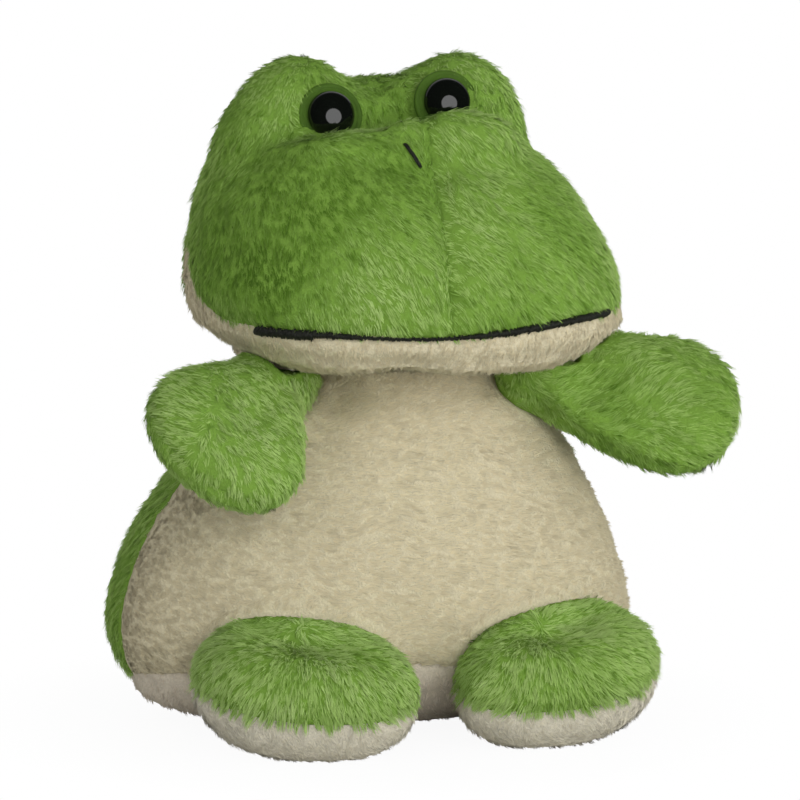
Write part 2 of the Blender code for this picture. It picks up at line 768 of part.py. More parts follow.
def swept(name, path, normals, section):
    """Carry a section of (outward, sideways) points along a path that lies on a surface."""
    path, normals = np.asarray(path), np.asarray(normals)
    tangent = np.gradient(path, axis=0)
    tangent /= np.linalg.norm(tangent, axis=1)[:, None]
    sideways = np.cross(tangent, normals)
    sides = len(section)
    points = [path[k] + normals[k] * out + sideways[k] * across
              for k in range(len(path)) for out, across in section]
    faces = [tuple(range(sides)), tuple(range(len(points) - 1, len(points) - 1 - sides, -1))]
    for k in range(len(path) - 1):
        for s in range(sides):
            here, after = k * sides + s, k * sides + (s + 1) % sides
            faces.append((here, after, after + sides, here + sides))
    return mesh_from(name, points, faces)


def make_mouth():
    """Satin-stitched line along the front of the mouth seam."""
    levels = head_levels()
    level = levels[np.argmin(np.abs(levels[:, 0] - MOUTH_HEIGHT))]
    outline = head_ring(level)
    front = outline[(outline[:, 1] < 0) & (np.abs(outline[:, 0] - NECK_LEAN) < MOUTH_CORNER)]
    path = front[np.argsort(front[:, 0])]
    tangent = np.gradient(path, axis=0)
    tangent /= np.linalg.norm(tangent, axis=1)[:, None]
    normals = np.column_stack((tangent[:, 1], -tangent[:, 0], np.zeros(len(path))))
    inner, outer = SEAM_GAP, SEAM_GAP + MOUTH_STITCH_THICKNESS
    half = MOUTH_STITCH_HEIGHT / 2
    section = ((inner, -half), (outer, -half / 2), (outer, half / 2), (inner, half))
    piece("mouth_stitching", swept("mouth_stitching", path, normals, section), BLACK_THREAD)


def make_nostrils(form):
    """One slanted stitch on each side of the snout seam."""
    for side in (-1, 1):
        label = "right" if side < 0 else "left"
        start = Vector((NECK_LEAN + side * NOSTRIL_SPACING / 2, 0, NOSTRIL_HEIGHT))
        place, normal = surface_hit(form, start, FRONT)
        down = (-UP + normal * normal.dot(UP)).normalized()
        along = (Matrix.Rotation(side * -NOSTRIL_SLANT, 3, normal) @ down).normalized()
        centre = place + normal * (NOSTRIL_RADIUS + SEAM_GAP)
        turn = frame_matrix(centre, along, normal.cross(along), normal)
        stitch = transformed(rod("nostril", NOSTRIL_LENGTH, NOSTRIL_RADIUS), turn)
        piece(f"nostril_{label}", stitch, BLACK_THREAD)


def make_closing_stitches(form):
    """One thread that laces the stuffing opening shut from side to side of the centre back seam."""
    path, normals = [], []
    for k in range(2 * CLOSING_STITCHES):
        height = CLOSING_START + CLOSING_LENGTH * (k // 2) / (CLOSING_STITCHES - 1)
        side = 1 if k % 4 in (1, 2) else -1
        place, normal = surface_hit(form, Vector((0, 0, height)), -FRONT)
        path.append(place + RIGHT * side * CLOSING_STITCH_LENGTH / 2)
        normals.append(normal)
    middle = CLOSING_STITCH_RADIUS + CLOSING_GAP
    angles = 2 * pi * np.arange(THREAD_SIDES) / THREAD_SIDES
    section = [(middle + CLOSING_STITCH_RADIUS * cos(a), CLOSING_STITCH_RADIUS * sin(a)) for a in angles]
    piece("closing_stitches", swept("closing_stitches", path, normals, section), GREEN_THREAD)


def arm_form():
    """A paddle along +X with a round root at the origin; its seam lies in the XY plane."""
    x, y = ring(LIMB_SIDES, 2)
    rings = []
    for step in np.arange(1, ROOT_ROWS + 1) / ROOT_ROWS:
        angle = step * pi / 2
        radius = ARM_ROOT * sin(angle)
        depth = np.full(LIMB_SIDES, -ARM_ROOT * cos(angle))
        rings.append(np.column_stack((depth, x * radius, y * radius)))
    for along, width, thickness in ARM_STATION_SHARES:
        rings.append(np.column_stack((
            np.full(LIMB_SIDES, along * ARM_LENGTH),
            x * width * ARM_HALF_WIDTH,
            y * thickness * ARM_HALF_THICKNESS)))
    return skinned("arm_form", rings, Vector((-ARM_ROOT, 0, 0)), Vector((ARM_LENGTH, 0, 0)))


def shoulder(torso, limb):
    """Where an arm is sewn: its round root just touches the torso's side there."""
    start = Vector((NECK_LEAN / 2, -SIDE_SEAM_FORWARD, SHOULDER_HEIGHT))
    place, normal = surface_hit(torso, start, RIGHT * limb.side + FRONT * SHOULDER_FORWARD_SHARE)
    return place + normal * (ARM_ROOT + SEAM_GAP)


def make_arm(name, limb, torso, head):
    """Front and rear panels of one arm over its stuffing, pressed in where the chin rests on them."""
    outward = limb.outward.normalized()
    facing = (limb.facing - outward * limb.facing.dot(outward)).normalized()
    place = frame_matrix(shoulder(torso, limb), outward, facing.cross(outward), facing)
    form = transformed(arm_form(), place)
    front, rear = halves(place.translation, facing)
    skin = hollow(form, SKIN)
    chin = grown(head, CHIN_GAP)
    upper = piece(f"{name}_front", skin, GREEN_PLUSH)
    keep(upper, front)
    cut(upper, chin)
    lower = piece(f"{name}_rear", skin, GREEN_PLUSH)
    keep(lower, rear)
    cut(lower, chin)
    core = piece(f"{name}_stuffing", grown(form, -SKIN - SEAM_GAP), FIBRE_FILL)
    cut(core, grown(head, CHIN_GAP + SKIN))


def foot_form(foot):
    """An egg-shaped pad, full at its rim, with its seam in the XY plane."""
    x, y = ring(LIMB_SIDES, 2)
    polar = pi * np.arange(1, PAD_ROWS) / PAD_ROWS
    rings = []
    for p in polar:
        spread = sin(p) ** FOOT_PUFF
        egg = 1 + foot.side * FOOT_EGG_SHARE * x
        rings.append(np.column_stack((
            x * spread * FOOT_HALF_LENGTH,
            y * spread * FOOT_HALF_DEPTH * egg,
            np.full(LIMB_SIDES, -cos(p) * FOOT_HALF_HEIGHT))))
    ends = Vector((0, 0, -FOOT_HALF_HEIGHT)), Vector((0, 0, FOOT_HALF_HEIGHT))
    return skinned("foot_form", rings, *ends)


def make_foot(name, foot, torso):
    """Upper panel and sole of one foot over its stuffing, cut by the belly."""
    turn = foot.turn()
    form = transformed(foot_form(foot), turn)
    lowest = min(vertex.co.z for vertex in form.vertices)
    centre = Vector((foot.side * foot.out, -foot.forward, -lowest - FLOOR_PRESS))
    form.transform(Matrix.Translation(centre))
    upper, sole = halves(centre, turn.to_3x3() @ UP)
    floor = half_space(Vector((0, 0, 0)), UP)
    belly = grown(torso, SEAM_GAP)
    skin = hollow(form, SKIN)
    top = piece(f"{name}_upper", skin, GREEN_PLUSH)
    keep(top, upper)
    cut(top, belly)
    bottom = piece(f"{name}_sole", skin, SEAT_PLUSH)
    keep(bottom, sole, floor)
    cut(bottom, belly)
    core = piece(f"{name}_stuffing", grown(form, -SKIN - SEAM_GAP), FIBRE_FILL)
    cut(core, belly)


def hang(prefixes, pivot):
    """Put the origins of the pieces that move together on the point they turn about."""
    for thing in bpy.data.objects:
        if thing.name.startswith(prefixes):
            thing.data.transform(Matrix.Translation(-pivot))
            thing.location = pivot


def set_origins(torso):
    """Origins of the head, the arms and the feet on their own joints."""
    hang(HEAD_PIECES, neck_pivot())
    for name, limb in ARMS.items():
        hang((name,), shoulder(torso, limb))
    for name, foot in FEET.items():
        hang((name,), foot.hinge())


def shade(angle=SHARP_ANGLE):
    """Smooth shading with sharp edges where faces meet steeply."""
    for thing in bpy.data.objects:
        if thing.type == "MESH":
            thing.data.shade_smooth()
            thing.data.set_sharp_from_angle(angle=angle)


def main():
    """Build the whole toy."""
    clear_scene()
    torso = torso_form()
    head = head_form()
    seats = [eye_seat(head, side) for side in (-1, 1)]
    make_torso(torso)
    make_pouch()
    make_head(head, seats)
    make_eyes(seats)
    make_neck_thread()
    make_mouth()
    make_nostrils(head)
    make_closing_stitches(torso)
    for name, limb in ARMS.items():
        make_arm(name, limb, torso, head)
    for name, foot in FEET.items():
        make_foot(name, foot, torso)
    set_origins(torso)
    shade()


main()
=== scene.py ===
"""The looks of a seated plush frog: puffed cloth, plush pile, eyes, stitching and the studio."""

from __future__ import annotations

import sys

import json
import logging
import math
from dataclasses import dataclass
from enum import Enum
from typing import Callable, Iterable, Sequence

import bmesh
import bpy
import numpy as np
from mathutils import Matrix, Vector

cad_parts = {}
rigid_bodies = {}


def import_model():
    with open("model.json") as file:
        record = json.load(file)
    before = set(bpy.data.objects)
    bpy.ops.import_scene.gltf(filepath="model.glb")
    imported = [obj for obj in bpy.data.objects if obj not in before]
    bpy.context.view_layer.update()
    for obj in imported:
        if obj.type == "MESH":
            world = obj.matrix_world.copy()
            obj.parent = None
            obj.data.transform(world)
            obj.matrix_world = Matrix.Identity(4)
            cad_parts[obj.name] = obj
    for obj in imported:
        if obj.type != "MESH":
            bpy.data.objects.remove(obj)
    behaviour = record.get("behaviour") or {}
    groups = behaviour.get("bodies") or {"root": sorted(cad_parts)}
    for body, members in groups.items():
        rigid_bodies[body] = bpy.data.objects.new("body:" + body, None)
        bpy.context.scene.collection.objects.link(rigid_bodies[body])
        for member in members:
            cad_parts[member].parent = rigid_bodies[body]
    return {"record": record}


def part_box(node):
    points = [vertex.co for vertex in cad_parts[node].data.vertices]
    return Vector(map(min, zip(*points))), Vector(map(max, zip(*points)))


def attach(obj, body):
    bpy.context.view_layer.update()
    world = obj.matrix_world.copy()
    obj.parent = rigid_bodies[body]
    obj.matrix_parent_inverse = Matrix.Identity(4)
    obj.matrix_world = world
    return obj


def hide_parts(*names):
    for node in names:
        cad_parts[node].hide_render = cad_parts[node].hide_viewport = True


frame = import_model()

logging.basicConfig(level=logging.INFO, format="%(message)s", stream=sys.stdout)
log = logging.getLogger("plush_frog")

Array = np.ndarray
TRIANGLE_LIMIT = 190_000
SEED = 20_417
FLOOR_CLEARANCE = 0.0002
SEAM_REACH = 0.0022


class Side(Enum):
    """The toy's own right and left."""

    RIGHT = -1
    LEFT = 1

    @property
    def word(self) -> str:
        """The side's name in node names."""
        return self.name.lower()


# ---------------------------------------------------------------- small vector mathematics


def unit(vectors: Array) -> Array:
    """Vectors scaled to length one along their last axis."""
    return vectors / np.maximum(np.linalg.norm(vectors, axis=-1, keepdims=True), 1e-12)


def across(vectors: Array, normals: Array) -> Array:
    """The part of each vector that lies in the plane of its normal."""
    return vectors - normals * np.sum(vectors * normals, axis=-1, keepdims=True)


def turned_about(vectors: Array, axes: Array, angles: Array) -> Array:
    """Vectors turned about unit axes at right angles to them."""
    angles = angles[..., None]
    return vectors * np.cos(angles) + np.cross(axes, vectors) * np.sin(angles)


def hermite(at: Array, levels: Array, values: Array) -> Array:
    """Smooth curve through (levels, values): a cubic on each span, with the slopes of np.gradient."""
    slopes = np.gradient(values, levels)
    k = np.clip(np.searchsorted(levels, at) - 1, 0, len(levels) - 2)
    span = levels[k + 1] - levels[k]
    t = np.clip((at - levels[k]) / span, 0, 1)
    low = (2 * t**3 - 3 * t**2 + 1) * values[k] + (t**3 - 2 * t**2 + t) * span * slopes[k]
    high = (3 * t**2 - 2 * t**3) * values[k + 1] + (t**3 - t**2) * span * slopes[k + 1]
    return low + high


def smooth_union(a: Array, b: Array, blend: float) -> Array:
    """The lower of two distances, rounded off over a blend width where they meet."""
    share = np.clip(0.5 + 0.5 * (b - a) / blend, 0, 1)
    return b * (1 - share) + a * share - blend * share * (1 - share)


def fade(value: Array, low: float, high: float) -> Array:
    """A smooth step from 0 at low to 1 at high."""
    t = np.clip((value - low) / (high - low), 0, 1)
    return t * t * (3 - 2 * t)


def differences(value: Callable[[Array], Array], points: Array, step: float) -> Array:
    """Rows of a value's central differences along x, y and z, over a step each way."""
    return np.column_stack([value(points + axis) - value(points - axis) for axis in np.eye(3) * step])


def crossing(is_out: Callable[[Array], Array], low: Array, high: Array, rounds: int) -> Array:
    """Where a line leaves a form, by bisection between low, inside it, and high, outside it."""
    for _ in range(rounds):
        middle = (low + high) / 2
        out = is_out(middle)
        high, low = np.where(out, middle, high), np.where(out, low, middle)
    return high


def value_noise(points: Array, scale: float, seed: int) -> Array:
    """Smooth noise from -1 to 1: random values at the corners of a cubic lattice, eased between them."""
    place = points / scale
    cell = np.floor(place).astype(np.int64)
    t = place - cell
    t = t * t * (3 - 2 * t)
    total = np.zeros(len(points))
    for corner in np.ndindex(2, 2, 2):
        key = cell + np.array(corner)
        mixed = (key[:, 0] * 73856093) ^ (key[:, 1] * 19349663) ^ (key[:, 2] * 83492791)
        mixed ^= seed * 2654435761
        mixed = (mixed ^ (mixed >> 13)) * 1274126177
        value = ((mixed ^ (mixed >> 16)) & 0xFFFF) / 32767.5 - 1
        weight = np.prod(np.where(np.array(corner) == 1, t, 1 - t), axis=1)
        total += value * weight
    return total


def vertex_normals(points: Array, faces: Array) -> Array:
    """Area-weighted vertex normals of a triangle mesh."""
    corners = points[faces]
    face_normals = np.cross(corners[:, 1] - corners[:, 0], corners[:, 2] - corners[:, 0])
    total = np.zeros_like(points)
    for k in range(3):
        np.add.at(total, faces[:, k], face_normals)
    return unit(total)


def relaxed(points: Array, faces: Array, rounds: int, held: Array | None = None) -> Array:
    """Points moved towards the middle of their neighbours, a few rounds, apart from the held ones."""
    edges = np.vstack((faces[:, :2], faces[:, 1:], faces[:, ::2]))
    count = np.zeros(len(points))
    np.add.at(count, edges[:, 0], 1)
    np.add.at(count, edges[:, 1], 1)
    for _ in range(rounds):
        total = np.zeros_like(points)
        np.add.at(total, edges[:, 0], points[edges[:, 1]])
        np.add.at(total, edges[:, 1], points[edges[:, 0]])
        moved = 0.5 * points + 0.5 * total / count.reshape(-1, *([1] * (points.ndim - 1)))
        points = moved if held is None else np.where(held[:, None], points, moved)
    return points


def icosphere(level: int) -> tuple[Array, Array]:
    """Unit directions and triangles of an icosphere."""
    shape = bmesh.new()
    bmesh.ops.create_icosphere(shape, subdivisions=level, radius=1.0)
    directions = np.array([vertex.co[:] for vertex in shape.verts])
    faces = np.array([[vertex.index for vertex in face.verts] for face in shape.faces])
    shape.free()
    return unit(directions), faces


def split(faces: Array, count: int) -> tuple[Array, Array]:
    """Every triangle split into four: the new faces, and the two parents of each new point."""
    pairs = np.sort(np.vstack((faces[:, [0, 1]], faces[:, [1, 2]], faces[:, [2, 0]])), axis=1)
    parents, index = np.unique(pairs, axis=0, return_inverse=True)
    ab, bc, ca = (index.reshape(3, -1) + count)
    a, b, c = faces.T
    new = np.vstack((
        np.column_stack((a, ab, ca)), np.column_stack((ab, b, bc)),
        np.column_stack((ca, bc, c)), np.column_stack((ab, bc, ca)),
    ))
    return new, parents


# ---------------------------------------------------------------- the toy's smooth forms


@dataclass
class Form:
    """A stuffed form, star-shaped about its centre; its outer surface is the pile's envelope.

    Args:
        name: The form's name.
        body: The CAD body that it rides on.
        centre: A point that sees the whole surface.
    """

    name: str
    body: str
    centre: Array

    def outside(self, points: Array) -> Array:
        """A value below 0 inside the form and above 0 outside it, about a distance in metres."""
        raise NotImplementedError

    def region(self, points: Array) -> tuple[Array, Array]:
        """The index of the panel that each point lies on, and its distance from the nearest seam."""
        raise NotImplementedError

    def seam(self, points: Array) -> Array:
        """Distance of each point from the nearest seam."""
        return self.region(points)[1]

    def dent(self, points: Array) -> Array:
        """How far the stuffed surface is pressed in at each point."""
        return np.zeros(len(points))

    def gap(self, points: Array) -> Array:
        """Distance outside the surface: the value of outside over the length of its gradient."""
        step = 2e-4
        slope = [self.outside(points + axis) - self.outside(points - axis) for axis in np.eye(3) * step]
        length = np.linalg.norm(slope, axis=0) / (2 * step)
        return self.outside(points) / np.maximum(length, 0.3)

    def near(self, points: Array) -> Array:
        """The gap read from a lattice worked out once, linear between its corners."""
        low, step = np.array([-0.070, -0.072, -0.006]), 0.0024
        if not hasattr(self, "lattice"):
            axes = [np.arange(count) * step + start for start, count in zip(low, (66, 52, 68))]
            corners = np.stack(np.meshgrid(*axes, indexing="ij"), axis=-1)
            self.lattice = self.gap(corners.reshape(-1, 3)).reshape(corners.shape[:3])
        place = np.clip((points - low) / step, 0, np.array(self.lattice.shape) - 1.001)
        cell = place.astype(int)
        t = place - cell
        total = np.zeros(len(points))
        for corner in np.ndindex(2, 2, 2):
            weight = np.prod(np.where(np.array(corner) == 1, t, 1 - t), axis=1)
            total += weight * self.lattice[tuple((cell + corner).T)]
        return total

    def surface(self, directions: Array, reach: float = 0.095) -> Array:
        """Where rays from the centre leave the form: coarse steps outwards, then bisection."""
        low = np.zeros(len(directions))
        high = np.full(len(directions), reach)
        looking = np.ones(len(directions), bool)
        steps = np.linspace(0, reach, 40)[1:]
        for last, radius in zip(np.r_[0, steps[:-1]], steps):
            found = looking & (self.outside(self.centre + directions * radius) > 0)
            low[found], high[found] = last, radius
            looking &= ~found
        radius = crossing(lambda at: self.outside(self.centre + directions * at[:, None]) > 0,
                          low, high, 18)
        return self.centre + directions * radius[:, None]

    def snapped(self, points: Array, reach: float) -> Array:
        """Points within reach of a seam moved along the surface on to it."""
        step = 2e-4
        distance = self.seam(points)
        slope = differences(self.seam, points, step) / (2 * step)
        near = (distance < reach)[:, None]
        return np.where(near, points - unit(slope) * distance[:, None], points)


@dataclass
class Torso(Form):
    """The pear-shaped body, whose top is the ball that the head is sewn over.

    Args:
        half_width, front, back, height: Reach of the loft to the sides, forwards, backwards and up.
        fullness: Power of the superellipse of its rings.
        seat_height, seat_rise: Height of the seat's seam, and its rise towards the front.
        side_seam: Where the belly meets the back.
        lean: How far the top leans to the toy's left.
        ball, ball_shares, pivot_height: Radius of the neck ball, its rings and its middle's height.
        stations: Rows of height, width, front, back and lean, as shares of the above.
    """

    half_width: float = 0.0570
    front: float = 0.0410
    back: float = 0.0395
    height: float = 0.0790
    fullness: float = 2.25
    seat_height: float = 0.0100
    seat_rise: float = 0.17
    side_seam: float = -0.0050
    lean: float = 0.0065
    ball: float = 0.0270
    ball_shares: tuple = (0.350, 0.290, 0.230, 0.170)
    pivot_height: float = 0.0600
    stations: tuple = (
        (0.000, 0.600, 0.400, 0.600, 0.00), (0.050, 0.830, 0.620, 0.830, 0.00),
        (0.135, 0.955, 0.840, 0.950, 0.00), (0.245, 1.000, 0.965, 1.000, 0.00),
        (0.440, 0.960, 0.985, 0.945, 0.04), (0.610, 0.855, 0.880, 0.840, 0.18),
        (0.760, 0.715, 0.750, 0.720, 0.45), (0.845, 0.600, 0.650, 0.640, 0.72),
    )

    def __post_init__(self) -> None:
        """Work out the table of levels, with the rings of the neck ball above the loft's own."""
        rows = [(z * self.height, w * self.half_width, f * self.front, b * self.back, s * self.lean)
                for z, w, f, b, s in self.stations]
        for share in self.ball_shares:
            radius = self.ball * math.sin(share * math.pi)
            level = self.pivot_height + self.ball * math.cos(share * math.pi)
            rows.append((level, radius, radius, radius, self.lean))
        self.table = np.array(rows)

    def outside(self, points: Array) -> Array:
        """The loft's superellipse value times the local radius, with the ball above and the floor below."""
        x, y, z = points.T
        levels = self.table[:, 0]
        width, front, back, lean = (hermite(z, levels, column) for column in self.table[:, 1:].T)
        depth = np.where(y < 0, front, back)
        u, v = (x - lean) / width, y / depth
        ratio = (np.abs(u) ** self.fullness + np.abs(v) ** self.fullness + 1e-9) ** (1 / self.fullness)
        side = (ratio - 1) / np.maximum(ratio, 1e-3) * np.hypot(x - lean, y)
        pivot = np.array([self.lean, 0, self.pivot_height])
        ball = np.linalg.norm(points - pivot, axis=1) - self.ball
        ring = levels[len(self.stations)]
        upper = fade(z, ring - 0.003, ring + 0.003)
        return np.maximum(side * (1 - upper) + ball * upper, -z)

    def region(self, points: Array) -> tuple[Array, Array]:
        """0 seat, 1 belly, 2 and 3 the right and left back panels."""
        x, y, z = points.T
        seat = (z + self.seat_rise * y - self.seat_height) / math.hypot(1, self.seat_rise)
        ahead = self.side_seam - y
        label = np.where(seat < 0, 0, np.where(ahead > 0, 1, np.where(x < 0, 2, 3)))
        upper = np.minimum(np.abs(ahead), np.where(ahead < 0, np.abs(x), 1))
        return label, np.minimum(np.abs(seat), np.where(seat > 0, upper, 1))


@dataclass
class Head(Form):
    """Snout, cheeks and crown with the two eye bumps, hollow where it sits on the neck ball.

    Args:
        half_width, front, back: Reach of the loft to the sides, forwards and backwards.
        base, mouth, top: Heights of the chin, of the mouth's seam and of the crown.
        fullness: Power of the superellipse of its rings.
        lean, jaw_lift: How far the crown leans, and how far the jaw's corners are lifted.
        neck, socket, pivot_height: Middle of the neck ball and radius of the hollow over it.
        corner, cheek_rise, crown_seam: Where the mouth's seam turns up, its rise, and the seam behind.
        bump_spacing, bump_radii, bump_forward, bump_height: The two eye bumps.
        crown_tip, crown_back, crown_half_height: The crown between the bumps.
        eyes: Place and axis of each eye, set by the toy.
        seat_lifts: How far the cloth is lifted under the right and the left eye.
        puffs, puff_blend: Ellipsoids (middle, radii) of the ridge before the eyes, and their blend.
        bump_blend: Blend of the bumps and the crown.
        swellings: Soft rises of the cloth (middle, reach, height).
        jaw_stations, crown_stations: Rows of height, width, front, back, lean and lift, as shares.
    """

    half_width: float = 0.0475
    front: float = 0.0485
    back: float = 0.0310
    base: float = 0.0770
    mouth: float = 0.0883
    top: float = 0.1295
    fullness: float = 2.30
    lean: float = -0.0052
    jaw_lift: float = 0.0035
    neck: float = 0.0065
    socket: float = 0.0275
    pivot_height: float = 0.0600
    corner: float = -0.0230
    cheek_rise: float = 0.0310
    crown_seam: float = 0.0060
    bump_spacing: float = 0.0342
    bump_radii: tuple = (0.0162, 0.0139, 0.0204)
    bump_forward: float = 0.0020
    bump_height: float = 0.1230
    crown_tip: float = 0.0
    crown_back: float = 0.0040
    crown_half_height: float = 0.0135
    eyes: tuple = ()
    seat_lifts: tuple = (0.0002, 0.0008)
    bump_blend: float = 0.0035
    puff_blend: float = 0.0055
    puffs: tuple = (
        ((0.0013, 0.0020, 0.1298), (0.0200, 0.0135, 0.0080)),
        ((-0.0245, -0.0030, 0.1215), (0.0105, 0.0120, 0.0110)),
        ((0.0118, -0.0225, 0.1256), (0.0155, 0.0070, 0.0077)),
    )
    swellings: tuple = (
        ((-0.0130, -0.0260, 0.1270), (0.013, 0.007, 0.007), 0.0020),
        ((0.0078, -0.0060, 0.1365), (0.0055, 0.0075, 0.006), 0.0020),
        ((0.0300, -0.0290, 0.0800), (0.010, 0.010, 0.005), 0.0014),
        ((-0.0200, -0.0320, 0.0800), (0.010, 0.010, 0.005), 0.0008),
    )
    jaw_stations: tuple = (
        (0.00, 0.520, 0.540, 0.700, -0.10, 0.0), (0.12, 0.740, 0.820, 0.820, -0.20, 0.5),
        (0.45, 0.925, 0.955, 0.920, -0.30, 0.8), (1.00, 0.985, 1.005, 0.970, -0.20, 0.0),
    )
    crown_stations: tuple = (
        (0.20, 0.985, 0.980, 1.000, 0.08, 0.0), (0.45, 0.920, 0.905, 1.000, 0.42, 0.0),
        (0.68, 0.825, 0.785, 0.940, 0.82, 0.0), (0.84, 0.705, 0.640, 0.830, 1.00, 0.0),
        (0.94, 0.570, 0.520, 0.660, 1.00, 0.0), (0.99, 0.360, 0.320, 0.420, 1.00, 0.0),
        (1.00, 0.150, 0.150, 0.150, 1.00, 0.0),
    )

    def __post_init__(self) -> None:
        """Work out the table of levels and the ellipsoids of the bumps and the crown."""
        rows = [(self.base + t * (self.mouth - self.base), w, f, b, s, lift)
                for t, w, f, b, s, lift in self.jaw_stations]
        rows += [(self.mouth + t * (self.top - self.mouth), w, f, b, s, lift)
                 for t, w, f, b, s, lift in self.crown_stations]
        scale = (1, self.half_width, self.front, self.back, self.lean, self.jaw_lift)
        self.table = np.array(rows) * scale
        middle = self.neck + self.lean
        self.ellipsoids = [((middle, self.crown_back, self.bump_height),
                            (self.bump_spacing / 2, self.bump_radii[1], self.crown_half_height))]
        for side in Side:
            self.ellipsoids.append((self.bump_centre(side), self.bump_radii))
        self.ellipsoids.extend(self.puffs)

    def bump_centre(self, side: Side) -> tuple[float, float, float]:
        """The middle of one eye bump."""
        shift = side.value * self.bump_spacing / 2
        return (self.neck + self.lean + shift, -self.bump_forward,
                self.bump_height + side.value * self.crown_tip)

    def outside(self, points: Array) -> Array:
        """Loft, bumps and crown in a smooth union, less the socket of the neck ball."""
        x, y, z = points.T
        levels, level = self.table[:, 0], z
        for _ in range(2):
            width = np.maximum(hermite(level, levels, self.table[:, 1]), 1e-3)
            lift = hermite(level, levels, self.table[:, 5])
            across_share = np.clip((x - self.neck) / width, -1, 1)
            level = z - lift * across_share**2
        width, front, back, lean = (hermite(level, levels, column) for column in self.table[:, 1:5].T)
        depth = np.maximum(np.where(y < 0, front, back), 1e-3)
        across_x = x - self.neck - lean
        ratio = (np.abs(across_x / np.maximum(width, 1e-3)) ** self.fullness
                 + np.abs(y / depth) ** self.fullness + 1e-9) ** (1 / self.fullness)
        form = (ratio - 1) / np.maximum(ratio, 1e-3) * np.hypot(across_x, y)
        form = np.maximum(form, np.maximum(level - self.top, self.base - level))
        for centre, radii in self.ellipsoids:
            offset = (points - np.array(centre)) / np.array(radii)
            length = np.linalg.norm(offset, axis=1)
            reach = np.linalg.norm(points - np.array(centre), axis=1)
            value = (length - 1) / np.maximum(length, 1e-3) * reach
            blend = self.puff_blend if (centre, radii) in self.puffs else self.bump_blend
            form = smooth_union(form, value, blend)
        pivot = np.array([self.neck, 0, self.pivot_height])
        return np.maximum(form, self.socket - np.linalg.norm(points - pivot, axis=1))

    def dent(self, points: Array) -> Array:
        """The furrow of the snout's seam and the chin's notch, less the swellings.

        Round each eye's axis the swellings give way to a flat seat for its disc.
        """
        x, y, z = points.T
        ahead = fade(-y, 0.010, 0.025)
        furrow = 0.0011 * np.exp(-((x - self.neck) / SEAM_REACH) ** 2) * ahead
        furrow = furrow * fade(z, self.mouth, self.mouth + 0.006)
        notch = 0.0014 * np.exp(-((x + 0.002) / 0.008) ** 2) * fade(-y, 0.027, 0.034)
        notch *= fade(z, self.mouth - 0.003, self.mouth - 0.008)
        swelling = np.zeros(len(points))
        for place, reach, height in self.swellings:
            swelling += height * np.exp(-np.sum(((points - np.array(place)) / reach) ** 2, axis=1))
        for place, axis in self.eyes:
            offset = points - place
            wide = np.linalg.norm(offset - (offset @ axis)[:, None] * axis, axis=1)
            height = offset @ axis
            seat = fade(wide, 0.0095, 0.0070) * fade(height, -0.0085, -0.0045)
            seat = seat * fade(height, 0.0060, 0.0030)
            swelling = swelling * (1 - seat) + self.seat_lifts[int(place[0] > 0)] * seat
        return furrow + notch - swelling

    def lip(self, x: Array) -> Array:
        """How far the mouth line rises towards one corner and sags in the middle."""
        return 0.0015 * fade(x, 0.012, 0.042) - 0.0008 * np.exp(-((x - 0.001) / 0.016) ** 2)

    def cheek(self, y: Array) -> tuple[Array, Array]:
        """Height and slope of the mouth seam: level in front, rising on a quarter ellipse behind."""
        run = self.crown_seam - self.corner
        t = np.clip((y - self.corner) / run, 0, 0.999)
        fall = np.sqrt(1 - t**2)
        return self.mouth + self.cheek_rise * (1 - fall), self.cheek_rise / run * t / fall

    def region(self, points: Array) -> tuple[Array, Array]:
        """0 chin, 1 and 2 the right and left face panels, 3 the back of the head."""
        x, y, z = points.T
        height, slope = self.cheek(y)
        over = (z - height - self.lip(x) * fade(-y, 0.005, 0.020)) / np.hypot(1, slope)
        ahead = self.crown_seam - y
        side = x - self.neck
        label = np.where(ahead < 0, 3, np.where(over < 0, 0, np.where(side < 0, 1, 2)))
        front = np.minimum(np.abs(over), np.where(over > 0, np.abs(side), 1))
        return label, np.minimum(np.abs(ahead), np.where(ahead > 0, front, 1))


